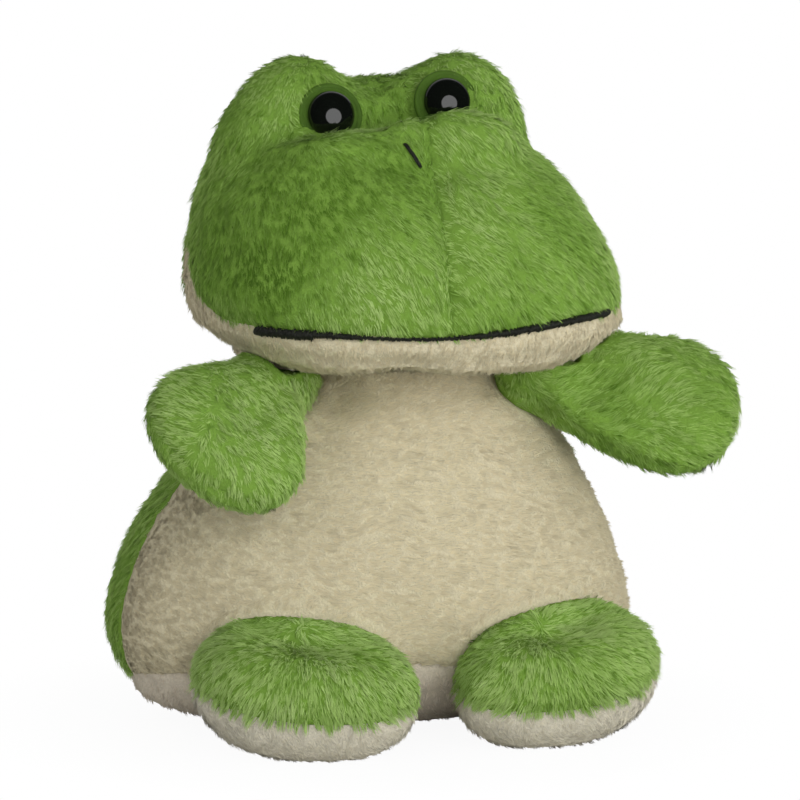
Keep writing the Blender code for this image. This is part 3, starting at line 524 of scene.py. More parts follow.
@dataclass
class Arm(Form):
    """A paddle from its shoulder outwards, dented where the chin rests on it.

    Args:
        outward, facing: The way it points and the way its front looks.
        shoulder: Its pivot.
        head: The head that it stays clear of, by the chin gap.
        length, half_width, half_thickness, root: Its sizes, and the radius of its round root.
        fold: Start, slope and depth of the crease along the front.
        hollow: Depth of the hollow in the front's middle.
        widening: Extra width towards the root.
        stations: Rows of length, width and thickness, as shares.
    """

    outward: Array = None
    facing: Array = None
    shoulder: Array = None
    head: Head = None
    length: float = 0.0430
    half_width: float = 0.0172
    half_thickness: float = 0.0098
    root: float = 0.0092
    chin_gap: float = 0.0004
    fold: tuple = (0.0, 0.0, 0.0)
    hollow: float = 0.0019
    widening: float = 0.0
    stations: tuple = (
        (0.16, 0.56, 0.82), (0.32, 0.77, 0.92), (0.48, 0.94, 1.00), (0.64, 1.00, 0.98),
        (0.78, 0.92, 0.88), (0.89, 0.73, 0.70), (0.97, 0.41, 0.40), (1.00, 0.12, 0.12),
    )

    def __post_init__(self) -> None:
        """Work out the arm's own axes and its table of levels."""
        self.outward = unit(np.array(self.outward, float))
        self.facing = unit(across(np.array(self.facing, float), self.outward))
        self.axes = np.array([self.outward, np.cross(self.facing, self.outward), self.facing])
        rows = [(-self.root * 1.2 * math.cos(a), self.root * math.sin(a), self.root * math.sin(a))
                for a in (0.25, math.pi / 6, math.pi / 3, math.pi / 2)]
        rows += [(t * self.length, (w + self.widening * max(0.0, 0.5 - t)) * self.half_width,
                  h * self.half_thickness) for t, w, h in self.stations]
        self.table = np.array(rows)
        self.centre = self.shoulder + self.outward * self.length * 0.52 - self.facing * 0.0015

    def outside(self, points: Array) -> Array:
        """The paddle's ellipse value times its radius, less the head grown by the chin's gap."""
        x, y, z = ((points - self.shoulder) @ self.axes.T).T
        levels = self.table[:, 0]
        width, thick = (np.maximum(hermite(x, levels, column), 1e-3) for column in self.table[:, 1:].T)
        ratio = np.sqrt((y / width) ** 2 + (z / thick) ** 2 + 1e-9)
        form = (ratio - 1) / np.maximum(ratio, 1e-3) * np.hypot(y, z)
        form = np.maximum(form, np.maximum(x - self.length, -1.2 * self.root - x))
        return np.maximum(form, self.chin_gap - self.head.near(points))

    def dent(self, points: Array) -> Array:
        """A fold along the front panel and the hollow in its middle."""
        x, y, z = ((points - self.shoulder) @ self.axes.T).T
        line = self.fold[0] + self.fold[1] * x
        depth = self.fold[2] * np.exp(-((y - line) / 0.0026) ** 2)
        depth = depth * fade(x, 0.002, 0.012) * fade(x, 0.040, 0.026)
        depth += self.hollow * np.exp(-((x - 0.6 * self.length) / 0.012) ** 2 - (y / 0.009) ** 2)
        return depth * fade(z, 0.0, 0.003)

    def region(self, points: Array) -> tuple[Array, Array]:
        """0 the rear panel, 1 the front one."""
        height = (points - self.shoulder) @ self.facing
        return np.where(height < 0, 0, 1), np.abs(height)


@dataclass
class Foot(Form):
    """An egg-shaped pad, full at its rim, pressed against the belly and the floor.

    Args:
        side, out, forward: Its side, and its middle's place from the toy's.
        torso: The body that it is cut to, by the seam's gap.
        half: Its half length, depth and height.
        splay, slope, roll: Its turn about the upright, the long and the forward axis.
        egg: How much deeper its outer end is.
        puff: How full its rim is.
        press: How far it is pressed into the floor's plane.
    """

    side: Side = Side.RIGHT
    out: float = 0.0
    forward: float = 0.0
    torso: Torso = None
    half: tuple = (0.0240, 0.0165, 0.0135)
    splay: float = math.radians(20)
    slope: float = math.radians(16)
    roll: float = math.radians(7)
    egg: float = 0.12
    puff: float = 0.62
    press: float = 0.0005
    seam_gap: float = 0.0003

    def __post_init__(self) -> None:
        """Work out the foot's axes and how far it stands above the floor."""
        a, b, c = self.side.value * self.splay, -self.side.value * self.roll, self.slope
        splay = np.array([[math.cos(a), -math.sin(a), 0], [math.sin(a), math.cos(a), 0], [0, 0, 1]])
        roll = np.array([[math.cos(b), 0, math.sin(b)], [0, 1, 0], [-math.sin(b), 0, math.cos(b)]])
        slope = np.array([[1, 0, 0], [0, math.cos(c), -math.sin(c)], [0, math.sin(c), math.cos(c)]])
        self.turn = splay @ roll @ slope
        polar, around = np.meshgrid(np.linspace(0.01, math.pi - 0.01, 90), np.linspace(0, 2 * math.pi, 90))
        spread = np.sin(polar) ** self.puff
        x, y = np.cos(around), np.sin(around)
        local = np.stack((x * spread * self.half[0],
                          y * spread * self.half[1] * (1 + self.side.value * self.egg * x),
                          -np.cos(polar) * self.half[2]), axis=-1).reshape(-1, 3)
        lowest = (local @ self.turn.T)[:, 2].min()
        self.centre = np.array([self.side.value * self.out, -self.forward, -lowest - self.press])

    def outside(self, points: Array) -> Array:
        """The pad's superellipse value times its radius, less the torso and what is under the floor."""
        local = (points - self.centre) @ self.turn
        x = local[:, 0] / self.half[0]
        z = np.clip(np.abs(local[:, 2]) / self.half[2], 0, None)
        round_x = np.clip(x, -1, 1)
        y = local[:, 1] / (self.half[1] * (1 + self.side.value * self.egg * round_x))
        power = 2 / self.puff
        ratio = (np.hypot(x, y) ** power + z**2 + 1e-9) ** 0.5
        form = (ratio ** (2 / power) - 1) * 0.012
        form = np.maximum(form, self.seam_gap - self.torso.near(points))
        return np.maximum(form, -points[:, 2])

    def dent(self, points: Array) -> Array:
        """The hollow in the middle of the upper panel."""
        local = (points - self.centre) @ self.turn
        reach = np.hypot(local[:, 0] / 0.0145, (local[:, 1] + 0.001) / 0.0085)
        clear = fade(self.torso.near(points), 0.0015, 0.0065)
        return 0.0032 * np.exp(-reach**2) * (local[:, 2] > 0) * clear

    def region(self, points: Array) -> tuple[Array, Array]:
        """0 the sole, 1 the upper."""
        height = (points - self.centre) @ self.turn[:, 2]
        return np.where(height < 0, 0, 1), np.abs(height)


# ---------------------------------------------------------------- meshes


def new_piece(name: str, points: Array, faces: Array, material: bpy.types.Material) -> bpy.types.Object:
    """An object at the origin from point and face arrays, smooth shaded.

    Args:
        name: The piece's name.
        points: Its points, (n, 3).
        faces: Its faces, all with as many corners, (m, 3) or (m, 4).
        material: Its material.

    Returns:
        The linked object.
    """
    mesh = bpy.data.meshes.new(name)
    corners = faces.shape[1]
    mesh.vertices.add(len(points))
    mesh.vertices.foreach_set("co", np.ascontiguousarray(points, np.float32).ravel())
    mesh.loops.add(faces.size)
    mesh.loops.foreach_set("vertex_index", np.ascontiguousarray(faces, np.int32).ravel())
    mesh.polygons.add(len(faces))
    mesh.polygons.foreach_set("loop_start", np.arange(0, faces.size, corners, dtype=np.int32))
    mesh.polygons.foreach_set("use_smooth", np.ones(len(faces), bool))
    mesh.update(calc_edges=True)
    mesh.materials.append(material)
    made = bpy.data.objects.new(name, mesh)
    bpy.context.scene.collection.objects.link(made)
    log.info("piece %s: %d points, %d faces", name, len(points), len(faces))
    return made


def seated(piece: bpy.types.Object, body: str, slot: str, *nodes: str) -> bpy.types.Object:
    """Let a piece ride on a body and stand for CAD nodes."""
    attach(piece, body)
    if nodes:
        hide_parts(*nodes)
    return piece


def threaded(name: str, parts: Iterable[tuple[Array, Array]], finish: ThreadFinish,
             body: str, node: str) -> bpy.types.Object:
    """Tubes of thread as one piece on a body, in place of a CAD node."""
    return seated(new_piece(name, *joined(parts), finish.material()), body, finish.slot, node)


def shell(points: Array, normals: Array, faces: Array, thickness: float) -> tuple[Array, Array]:
    """A closed sheet of cloth: a patch of faces, the same patch a thickness below, and a rim between."""
    used, index = np.unique(faces, return_inverse=True)
    index = index.reshape(faces.shape)
    count = len(used)
    outer = points[used]
    inner = outer - normals[used] * thickness
    directed = np.vstack((index[:, [0, 1]], index[:, [1, 2]], index[:, [2, 0]]))
    forward = directed[:, 0] * count + directed[:, 1]
    backward = directed[:, 1] * count + directed[:, 0]
    a, b = directed[~np.isin(forward, backward)].T
    walls = np.vstack((np.column_stack((b, a, a + count)), np.column_stack((b, a + count, b + count))))
    return np.vstack((outer, inner)), np.vstack((index, index[:, ::-1] + count, walls))


def tube(path: Array, radius: Array, up: Array, sides: int, flat: float = 1.0) -> tuple[Array, Array]:
    """A closed tube along a path, with a radius at each point; flat is its height for a width of one."""
    tangent = unit(np.gradient(path, axis=0))
    side = unit(np.cross(tangent, up))
    top = np.cross(side, tangent)
    angles = 2 * np.pi * np.arange(sides) / sides
    rings = (path[:, None] + radius[:, None, None] * (
        side[:, None] * np.cos(angles)[None, :, None] + top[:, None] * np.sin(angles)[None, :, None] * flat))
    count = len(path)
    points = np.vstack((rings.reshape(-1, 3), path[:1], path[-1:]))
    k, s = np.meshgrid(np.arange(count - 1), np.arange(sides), indexing="ij")
    here, after = (k * sides + s).ravel(), (k * sides + (s + 1) % sides).ravel()
    walls = np.vstack((np.column_stack((here, after, after + sides)),
                       np.column_stack((here, after + sides, here + sides))))
    s = np.arange(sides)
    low = np.column_stack((np.roll(s, -1), s, np.full(sides, count * sides)))
    base = (count - 1) * sides
    high = np.column_stack((base + s, base + np.roll(s, -1), np.full(sides, count * sides + 1)))
    return points, np.vstack((walls, low, high))


def joined(parts: Iterable[tuple[Array, Array]]) -> tuple[Array, Array]:
    """Several point and face arrays as one."""
    points, faces, start = [], [], 0
    for part_points, part_faces in parts:
        points.append(part_points)
        faces.append(part_faces + start)
        start += len(part_points)
    return np.vstack(points), np.vstack(faces)


def revolved(profile: Array, sides: int, place: Array, axes: Array) -> tuple[Array, Array]:
    """A closed surface turned about the third axis.

    Args:
        profile: Points (radius, height), the first and last on the axis or joined through a bore.
        sides: Number of sides.
        place: Origin of the axis.
        axes: Three unit vectors, the last one the axis.

    Returns:
        Points and triangles; a profile off the axis closes on itself as a ring.
    """
    ring = profile[0, 0] > 1e-6
    body = profile if ring else profile[1:-1]
    angles = 2 * np.pi * np.arange(sides) / sides
    local = np.stack((
        body[:, None, 0] * np.cos(angles), body[:, None, 0] * np.sin(angles),
        np.repeat(body[:, None, 1], sides, axis=1)), axis=-1).reshape(-1, 3)
    rows = len(body)
    k, s = np.meshgrid(np.arange(rows if ring else rows - 1), np.arange(sides), indexing="ij")
    here, after = (k * sides + s).ravel(), (k * sides + (s + 1) % sides).ravel()
    above, beyond = (here + sides) % (rows * sides), (after + sides) % (rows * sides)
    faces = [np.column_stack((here, after, beyond)), np.column_stack((here, beyond, above))]
    if not ring:
        s = np.arange(sides)
        faces.append(np.column_stack((np.roll(s, -1), s, np.full(sides, rows * sides))))
        last = (rows - 1) * sides
        faces.append(np.column_stack((last + s, last + np.roll(s, -1), np.full(sides, rows * sides + 1))))
        local = np.vstack((local, [(0, 0, profile[0, 1]), (0, 0, profile[-1, 1])]))
    return place + local @ axes, np.vstack(faces)


# ---------------------------------------------------------------- materials


class Nodes:
    """A tree's nodes, made and linked by short calls."""

    def __init__(self, tree: bpy.types.NodeTree) -> None:
        """Take the tree to work in."""
        self.tree = tree

    def node(self, kind: str, **values: object) -> bpy.types.Node:
        """Add a node; values name its properties, or its inputs by their first words."""
        made = self.tree.nodes.new(kind)
        for key, value in values.items():
            if hasattr(made, key):
                setattr(made, key, value)
            else:
                made.inputs[key.replace("_", " ")].default_value = value
        return made

    def link(self, source: bpy.types.NodeSocket, target: bpy.types.NodeSocket) -> None:
        """Link two sockets."""
        self.tree.links.new(source, target)


class Shader(Nodes):
    """A material and its nodes."""

    def __init__(self, name: str) -> None:
        """Start a material with an empty Principled shader."""
        self.material = bpy.data.materials.new(name)
        self.material.use_nodes = True
        super().__init__(self.material.node_tree)
        self.principled = self.tree.nodes["Principled BSDF"]

    def ramp(self, source: bpy.types.NodeSocket,
             stops: Sequence[tuple[float, tuple]]) -> bpy.types.NodeSocket:
        """A colour ramp read by a value."""
        made = self.node("ShaderNodeValToRGB")
        elements = made.color_ramp.elements
        while len(elements) < len(stops):
            elements.new(0.5)
        for element, (place, colour) in zip(elements, stops):
            element.position = place
            element.color = (*colour, 1)
        self.link(source, made.inputs["Fac"])
        return made.outputs["Color"]

    def mixed(self, kind: str, factor: float, a: bpy.types.NodeSocket,
              b: bpy.types.NodeSocket) -> bpy.types.NodeSocket:
        """Two colours in one of the mix modes."""
        made = self.node("ShaderNodeMix", data_type="RGBA", blend_type=kind)
        made.inputs[0].default_value = factor
        self.link(a, made.inputs[6])
        self.link(b, made.inputs[7])
        return made.outputs[2]

    def noise(self, scale: float, detail: float = 3.0, stretch: tuple = (1, 1, 1)) -> bpy.types.NodeSocket:
        """Noise in Object coordinates, stretched along the axes."""
        place = self.node("ShaderNodeTexCoord")
        mapping = self.node("ShaderNodeMapping")
        mapping.inputs["Scale"].default_value = stretch
        made = self.node("ShaderNodeTexNoise", Scale=scale, Detail=detail)
        self.link(place.outputs["Object"], mapping.inputs["Vector"])
        self.link(mapping.outputs["Vector"], made.inputs["Vector"])
        return made.outputs["Fac"]

    def bump(self, height: bpy.types.NodeSocket, strength: float, distance: float) -> None:
        """Bump on the Principled normal."""
        made = self.node("ShaderNodeBump", Strength=strength, Distance=distance)
        self.link(height, made.inputs["Height"])
        self.link(made.outputs["Normal"], self.principled.inputs["Normal"])

    def constants(self, **values: object) -> None:
        """Constants on the shader's own sockets, named with underscores for spaces."""
        for key, value in values.items():
            self.principled.inputs[key.replace("_", " ")].default_value = value


@dataclass(frozen=True)
class PileFinish:
    """Plush pile: a ramp of tones across the pelt, with painted shade darkening each strand towards its
    root, deep in the pile.

    Args:
        name: The finish's name.
        slot: The record's material slot.
        tones: Colours from the darkest to the brightest fibre.
        root: Colour that the root is multiplied by, painted shade deep in the pile.
        ground: Colour of the woven ground under the pile; where it is darker than the fibres, as in the
            green, it is painted shade deep in the pile.
        sheen: Weight of the soft shine at grazing angles.
    """

    name: str
    slot: str
    tones: tuple
    root: tuple
    ground: tuple
    sheen: float = 0.25

    def strands(self) -> bpy.types.Material:
        """The pile's material: tone by u, and root to tip by v of the map named pile, for the painted shade
        towards the root.
        """
        shader = Shader(f"{self.name}_pile")
        place = shader.node("ShaderNodeUVMap", uv_map="pile")
        parts = shader.node("ShaderNodeSeparateXYZ")
        shader.link(place.outputs["UV"], parts.inputs["Vector"])
        steps = np.linspace(0, 1, len(self.tones))
        tone = shader.ramp(parts.outputs["X"], list(zip(steps, self.tones)))
        # painted shade: each strand's colour is multiplied darker towards its root, where the pile shades
        # itself
        middle = tuple(0.5 + 0.5 * c for c in self.root)
        depth = shader.ramp(parts.outputs["Y"], [(0.0, self.root), (0.5, middle), (0.95, (1, 1, 1))])
        shader.link(shader.mixed("MULTIPLY", 1.0, tone, depth), shader.principled.inputs["Base Color"])
        shader.constants(Roughness=0.85, Specular_IOR_Level=0.18, Sheen_Weight=self.sheen,
                         Sheen_Roughness=0.5, Sheen_Tint=(*self.tones[-1], 1))
        return shader.material

    def ground_cloth(self) -> bpy.types.Material:
        """The ground under the pile: mottled fibres with a fine bump, in the ground colour, which holds
        painted shade where it is darker than the fibres.
        """
        shader = Shader(f"{self.name}_ground")
        dark = tuple(0.88 * c for c in self.ground)
        coarse = shader.ramp(shader.noise(260, 4), [(0.3, dark), (0.7, self.ground)])
        fine = shader.ramp(shader.noise(2600, 3), [(0.25, (0.80, 0.80, 0.80)), (0.75, (1, 1, 1))])
        shader.link(shader.mixed("MULTIPLY", 1.0, coarse, fine), shader.principled.inputs["Base Color"])
        shader.bump(shader.noise(1800, 4), 0.6, 0.0006)
        shader.constants(Roughness=0.95, Specular_IOR_Level=0.1)
        return shader.material


@dataclass(frozen=True)
class PlasticFinish:
    """Moulded plastic with faint flow marks and a fine grain.

    Args:
        name: The finish's name.
        slot: The record's material slot.
        colour: Its colour.
        roughness: Lowest and highest roughness.
        grain: Depth of the grain in metres.
        specular: Specular level.
    """

    name: str
    slot: str
    colour: tuple
    roughness: tuple
    grain: float
    specular: float = 0.5

    def material(self) -> bpy.types.Material:
        """The finish's material."""
        shader = Shader(self.name)
        bright = tuple(min(1.0, 1.25 * c) for c in self.colour)
        tone = shader.ramp(shader.noise(300, 2), [(0.3, self.colour), (0.7, bright)])
        shader.link(tone, shader.principled.inputs["Base Color"])
        low, high = self.roughness
        rough = shader.ramp(shader.noise(900, 3), [(0.3, (low,) * 3), (0.7, (high,) * 3)])
        shader.link(rough, shader.principled.inputs["Roughness"])
        if self.grain:
            shader.bump(shader.noise(4000, 2), 0.4, self.grain)
        shader.constants(Specular_IOR_Level=self.specular)
        return shader.material


@dataclass(frozen=True)
class ThreadFinish:
    """Thread: fine strands along the stitch, with a soft shine and painted shade in the grooves between the
    strands.

    Args:
        name: The finish's name.
        slot: The record's material slot.
        dark: Colour between the strands, painted shade in the grooves.
        bright: Colour on the strands.
        stretch: Scale of the strands along the axes.
    """

    name: str
    slot: str
    dark: tuple
    bright: tuple
    stretch: tuple = (1, 1, 0.2)

    def material(self) -> bpy.types.Material:
        """The finish's material."""
        shader = Shader(self.name)
        # painted shade: the noise that bumps the strands also colours their grooves dark
        strands = shader.noise(6000, 2, self.stretch)
        shader.link(shader.ramp(strands, [(0.35, self.dark), (0.65, self.bright)]),
                    shader.principled.inputs["Base Color"])
        rough = shader.ramp(shader.noise(2500, 2), [(0.3, (0.42,) * 3), (0.7, (0.7,) * 3)])
        shader.link(rough, shader.principled.inputs["Roughness"])
        shader.bump(strands, 0.5, 0.0001)
        shader.constants(Specular_IOR_Level=0.4)
        return shader.material


@dataclass(frozen=True)
class FillFinish:
    """What is inside: fibre fill, lining or pellets, a mottled pale material.

    Args:
        name: The finish's name.
        slot: The record's material slot; not used.
        low: Its darker colour.
        high: Its lighter colour.
        scale: Scale of its noise.
    """

    name: str
    slot: str
    low: tuple
    high: tuple
    scale: float

    def material(self) -> bpy.types.Material:
        """The finish's material."""
        shader = Shader(self.name)
        tone = shader.ramp(shader.noise(self.scale, 5), [(0.3, self.low), (0.7, self.high)])
        shader.link(tone, shader.principled.inputs["Base Color"])
        shader.bump(shader.noise(self.scale * 2, 4), 0.5, 0.0004)
        shader.constants(Roughness=0.9)
        return shader.material


# painted shade: the green ground is darker than the green fibres, for the shade deep in the pile
GREEN = PileFinish(
    "green_plush", "green_plush",
    tones=((0.095, 0.215, 0.014), (0.200, 0.385, 0.044), (0.370, 0.595, 0.130),
           (0.500, 0.725, 0.215), (0.620, 0.820, 0.320)),
    root=(0.62, 0.66, 0.54), ground=(0.225, 0.400, 0.062))
CREAM = PileFinish(
    "cream_plush", "cream_plush",
    tones=((0.600, 0.530, 0.360), (0.710, 0.640, 0.440), (0.790, 0.710, 0.490),
           (0.860, 0.790, 0.550), (0.910, 0.850, 0.640)),
    root=(0.84, 0.80, 0.72), ground=(0.790, 0.710, 0.490), sheen=0.12)
# painted light: the seat's and the soles' tones are paler than the belly's cream of the same cloth, to lift
# the shade between and under the feet
SEAT_WITH_PAINTED_LIGHT = PileFinish(
    "seat_plush", "seat_plush",
    tones=((0.740, 0.650, 0.520), (0.840, 0.750, 0.620), (0.910, 0.850, 0.730), (0.960, 0.920, 0.830)),
    root=(0.86, 0.82, 0.76), ground=(0.780, 0.700, 0.560), sheen=0.12)
SOLE_WITH_PAINTED_LIGHT = PileFinish(
    "sole_plush", "seat_plush",
    tones=((0.700, 0.650, 0.510), (0.810, 0.770, 0.620), (0.900, 0.860, 0.720), (0.950, 0.920, 0.810)),
    root=(0.84, 0.81, 0.75), ground=(0.750, 0.700, 0.560), sheen=0.12)
IRIS = PlasticFinish("green_plastic", "green_plastic", (0.058, 0.120, 0.013), (0.55, 0.70), 0.00004, 0.12)
PUPIL = PlasticFinish("black_plastic", "black_plastic", (0.003, 0.004, 0.003), (0.05, 0.08), 0.0, 0.50)
WASHER = PlasticFinish("washer_plastic", "washer_plastic", (0.62, 0.62, 0.60), (0.35, 0.5), 0.00005)
BLACK_THREAD = ThreadFinish("black_thread", "black_thread", (0.004, 0.005, 0.003), (0.022, 0.024, 0.016))
GREEN_THREAD = ThreadFinish("green_thread", "green_thread", (0.040, 0.090, 0.012), (0.140, 0.260, 0.050))
FIBRE = FillFinish("fibre_fill", "fibre_fill", (0.60, 0.60, 0.58), (0.84, 0.84, 0.82), 500)
LINING = FillFinish("pouch_cloth", "pouch_cloth", (0.66, 0.65, 0.61), (0.80, 0.79, 0.75), 1500)
PELLETS = FillFinish("pellets", "pellets", (0.52, 0.52, 0.51), (0.78, 0.78, 0.77), 350)


# ---------------------------------------------------------------- stuffed forms


@dataclass
class Stuffed:
    """One stuffed form: its cloth between the seams is puffed by a simulation, its seams stay pulled in.

    Args:
        form: The smooth form.
        others: The forms that it rests against.
        depth: Thickness of the pile, from the form's surface down to the cloth.
        swell: How far the cloth puffs out between the seams.
        thickness: Thickness of the cloth.
        level: Fineness of the simulated cloth; the visible one is one step finer.
        frames: Length of the simulation.
        pressure: Pressure of the stuffing.
        slack: Share by which the cloth is cut larger than the form that it starts from.
    """

    form: Form
    others: Sequence[Form]
    depth: float = 0.0007
    swell: float = 0.0011
    thickness: float = 0.0008
    level: int = 5
    frames: int = 20
    pressure: float = 4.0
    slack: float = 0.05

    def build(self) -> None:
        """Work out the puffed cloth: points, normals, faces and the panel of each face."""
        form = self.form
        directions, faces = icosphere(self.level)
        points = form.surface(directions)
        edge = np.linalg.norm(points[faces[:, 0]] - points[faces[:, 1]], axis=1).mean()
        points = form.snapped(points, 0.5 * edge)
        normals = vertex_normals(points, faces)
        distance = form.seam(points)
        start = points - normals * (self.depth + self.swell)
        push = self.inflated(start, faces, normals, distance < 0.1 * edge)
        push = relaxed(push, faces, 1)
        self.faces, parents = split(faces, len(directions))
        both = np.vstack((directions, unit(directions[parents].mean(axis=1))))
        surface = form.snapped(form.surface(both), 0.25 * edge)
        surface = surface - vertex_normals(surface, self.faces) * form.dent(surface)[:, None]
        push = np.concatenate((push, push[parents].mean(axis=1)))
        distance = form.seam(surface)
        push *= 1 - 0.9 * np.exp(-(distance / 0.0016) ** 2)
        normals = vertex_normals(surface, self.faces)
        middle = surface[self.faces].mean(axis=1)
        self.labels = form.region(middle)[0]
        self.free = self.freedom(surface)
        sunk = (self.depth + self.swell - push) * (0.2 + 0.8 * self.free)
        self.points = surface - normals * sunk[:, None]
        self.points[:, 2] = np.maximum(self.points[:, 2], 0.0006)
        self.normals = vertex_normals(relaxed(self.points, self.faces, 2), self.faces)
        log.info("form %s: puffed by %.2f mm at most", form.name, push.max() * 1000)

    def contact(self, points: Array) -> Array:
        """Distance to the nearest of the other forms."""
        return np.min([other.near(points) for other in self.others], axis=0)

    def freedom(self, points: Array) -> Array:
        """0 where the form is pressed against another one, up to 1 where it is free of them."""
        return fade(self.contact(points), 0.0006, 0.0040)

    def inflated(self, start: Array, faces: Array, normals: Array, held: Array) -> Array:
        """How far each point puffs out under pressure with its seams pinned, up to the swell."""
        cloth_piece = new_piece(f"{self.form.name}_cloth", start, faces, bpy.data.materials.new("plain"))
        group = cloth_piece.vertex_groups.new(name="seams")
        group.add(np.flatnonzero(held).tolist(), 1.0, "REPLACE")
        cloth = cloth_piece.modifiers.new("cloth", "CLOTH")
        settings = cloth.settings
        settings.vertex_group_mass = "seams"
        settings.use_pressure = True
        settings.uniform_pressure_force = self.pressure
        settings.effector_weights.gravity = 0
        settings.tension_stiffness = settings.compression_stiffness = 1
        settings.shear_stiffness, settings.bending_stiffness = 0.5, 0.05
        settings.shrink_min = -self.slack
        cloth.point_cache.frame_start, cloth.point_cache.frame_end = 1, self.frames
        scene = bpy.context.scene
        for step in range(1, self.frames + 1):
            scene.frame_set(step)
        puffed = cloth_piece.evaluated_get(bpy.context.evaluated_depsgraph_get()).data
        moved = np.empty(len(start) * 3, np.float32)
        puffed.vertices.foreach_get("co", moved)
        push = np.sum((moved.reshape(-1, 3) - start) * normals, axis=1)
        log.info("cloth %s: moved %.2f mm at most", self.form.name, push.max() * 1000)
        bpy.data.objects.remove(cloth_piece, do_unlink=True)
        scene.frame_set(1)
        return self.swell * np.tanh(1.5 * np.maximum(push, 0) / self.swell)

    def fill(self, material: bpy.types.Material, *nodes: str) -> bpy.types.Object:
        """The stuffing under the cloth, a piece of its own."""
        smooth = relaxed(self.points, self.faces, 4) - self.points
        sunk = np.minimum(np.sum(smooth * self.normals, axis=1), 0.0) - self.thickness - 0.0010
        points = relaxed(self.points + self.normals * sunk[:, None], self.faces, 1)
        for _ in range(14):
            shallow = self.form.outside(points) + self.form.dent(points) > -self.thickness - 0.0014
            points = np.where(shallow[:, None], points + (self.form.centre - points) * 0.04, points)
        points[:, 2] = np.maximum(points[:, 2], 0.0016)
        piece = seated(new_piece(f"{self.form.name}_fill", points, self.faces, material),
                       self.form.body, "fibre_fill", *nodes)
        return piece


# ---------------------------------------------------------------- plush pile


@dataclass(frozen=True)
class Guide:
    """A place on the pelt where the lie of the pile is known, and where light and shade can be painted into
    its tone.

    Args:
        at: The place.
        toward: The way the pile lies there.
        reach: How far the guide works.
        tone: Painted light and shade: how much lighter or darker the pile is coloured about the guide.
    """

    at: tuple
    toward: tuple
    reach: float = 0.010
    tone: float = 0.0


@dataclass(frozen=True)
class Groom:
    """How a panel's pile stands and lies, lengths in metres and angles in radians.

    Args:
        length: Length of a strand.
        density: Tufts in a square millimetre.
        strands: Long strands in a tuft.
        under: Short strands under them.
        spread: Radius of a tuft at its foot.
        width: Width of a strand.
        rise: Angle of a strand's first half above the cloth.
        lay: Angle of its second half.
        clump: How far a tuft's tips come together.
        wander: How far the lie turns from place to place.
        jitter: How far single strands turn.
        nap: The lie away from every guide.
        guides: Places where the lie is known, which also paint light and shade into the tone.
        radiate: A point that the pile points away from, if any.
        seam_length: Share of the length that is left at a seam.
        part: How strongly the pile parts at a seam.
        tone: Place on the finish's ramp of tones.
        patch: Strength of the blotches.
        streak: Strength of the painted shade along thin lines between locks, along the lie, where strands
            are coloured darker.
        grain: How much the tone differs from strand to strand.
        rim: Extra rise at a seam.
    """

    length: float = 0.0021
    density: float = 0.66
    strands: int = 1
    under: int = 5
    spread: float = 0.00080
    width: float = 0.00024
    rise: float = 0.50
    lay: float = 0.16
    clump: float = 0.55
    wander: float = 0.35
    jitter: float = 0.10
    nap: tuple = (0.0, 0.0, -1.0)
    guides: tuple = ()
    radiate: tuple | None = None
    seam_length: float = 0.75
    part: float = 0.6
    tone: float = 0.5
    patch: float = 0.13
    streak: float = 0.38
    grain: float = 0.05
    rim: float = 0.0


@dataclass(frozen=True)
class Panel:
    """One sewn panel of a form, with its cloth and its pile.

    Args:
        name: Start of its pieces' names.
        index: Its label in the form's regions.
        node: The CAD node that it stands for.
        finish: Its plush.
        groom: How its pile lies.
    """

    name: str
    index: int
    node: str
    finish: PileFinish
    groom: Groom


@dataclass(frozen=True)
class Clearing:
    """A round hole in the pile around an eye."""

    place: Array
    axis: Array
    radius: float

    def brim(self, feet: Array) -> tuple[Array, Array]:
        """How near each foot is to the hole's rim, from 0 to 1, and the way to the eye's axis."""
        offset = feet - self.place
        height = offset @ self.axis
        radial = offset - height[:, None] * self.axis
        wide = np.maximum(np.linalg.norm(radial, axis=1), 1e-5)
        nearness = np.exp(-((wide - self.radius) / 0.0014) ** 2)
        nearness = nearness * (height > -0.006) * (height < 0.004)
        return nearness, -radial / wide[:, None]


@dataclass(frozen=True)
class Parting:
    """A line between two points where a stitch pulls the pile apart."""

    start: Array
    end: Array
    radius: float

    def misses(self, places: Array) -> Array:
        """Whether each place is farther than the radius from the line."""
        run = self.end - self.start
        share = np.clip((places - self.start) @ run / (run @ run), 0, 1)
        return np.linalg.norm(places - self.start - share[:, None] * run, axis=1) > self.radius


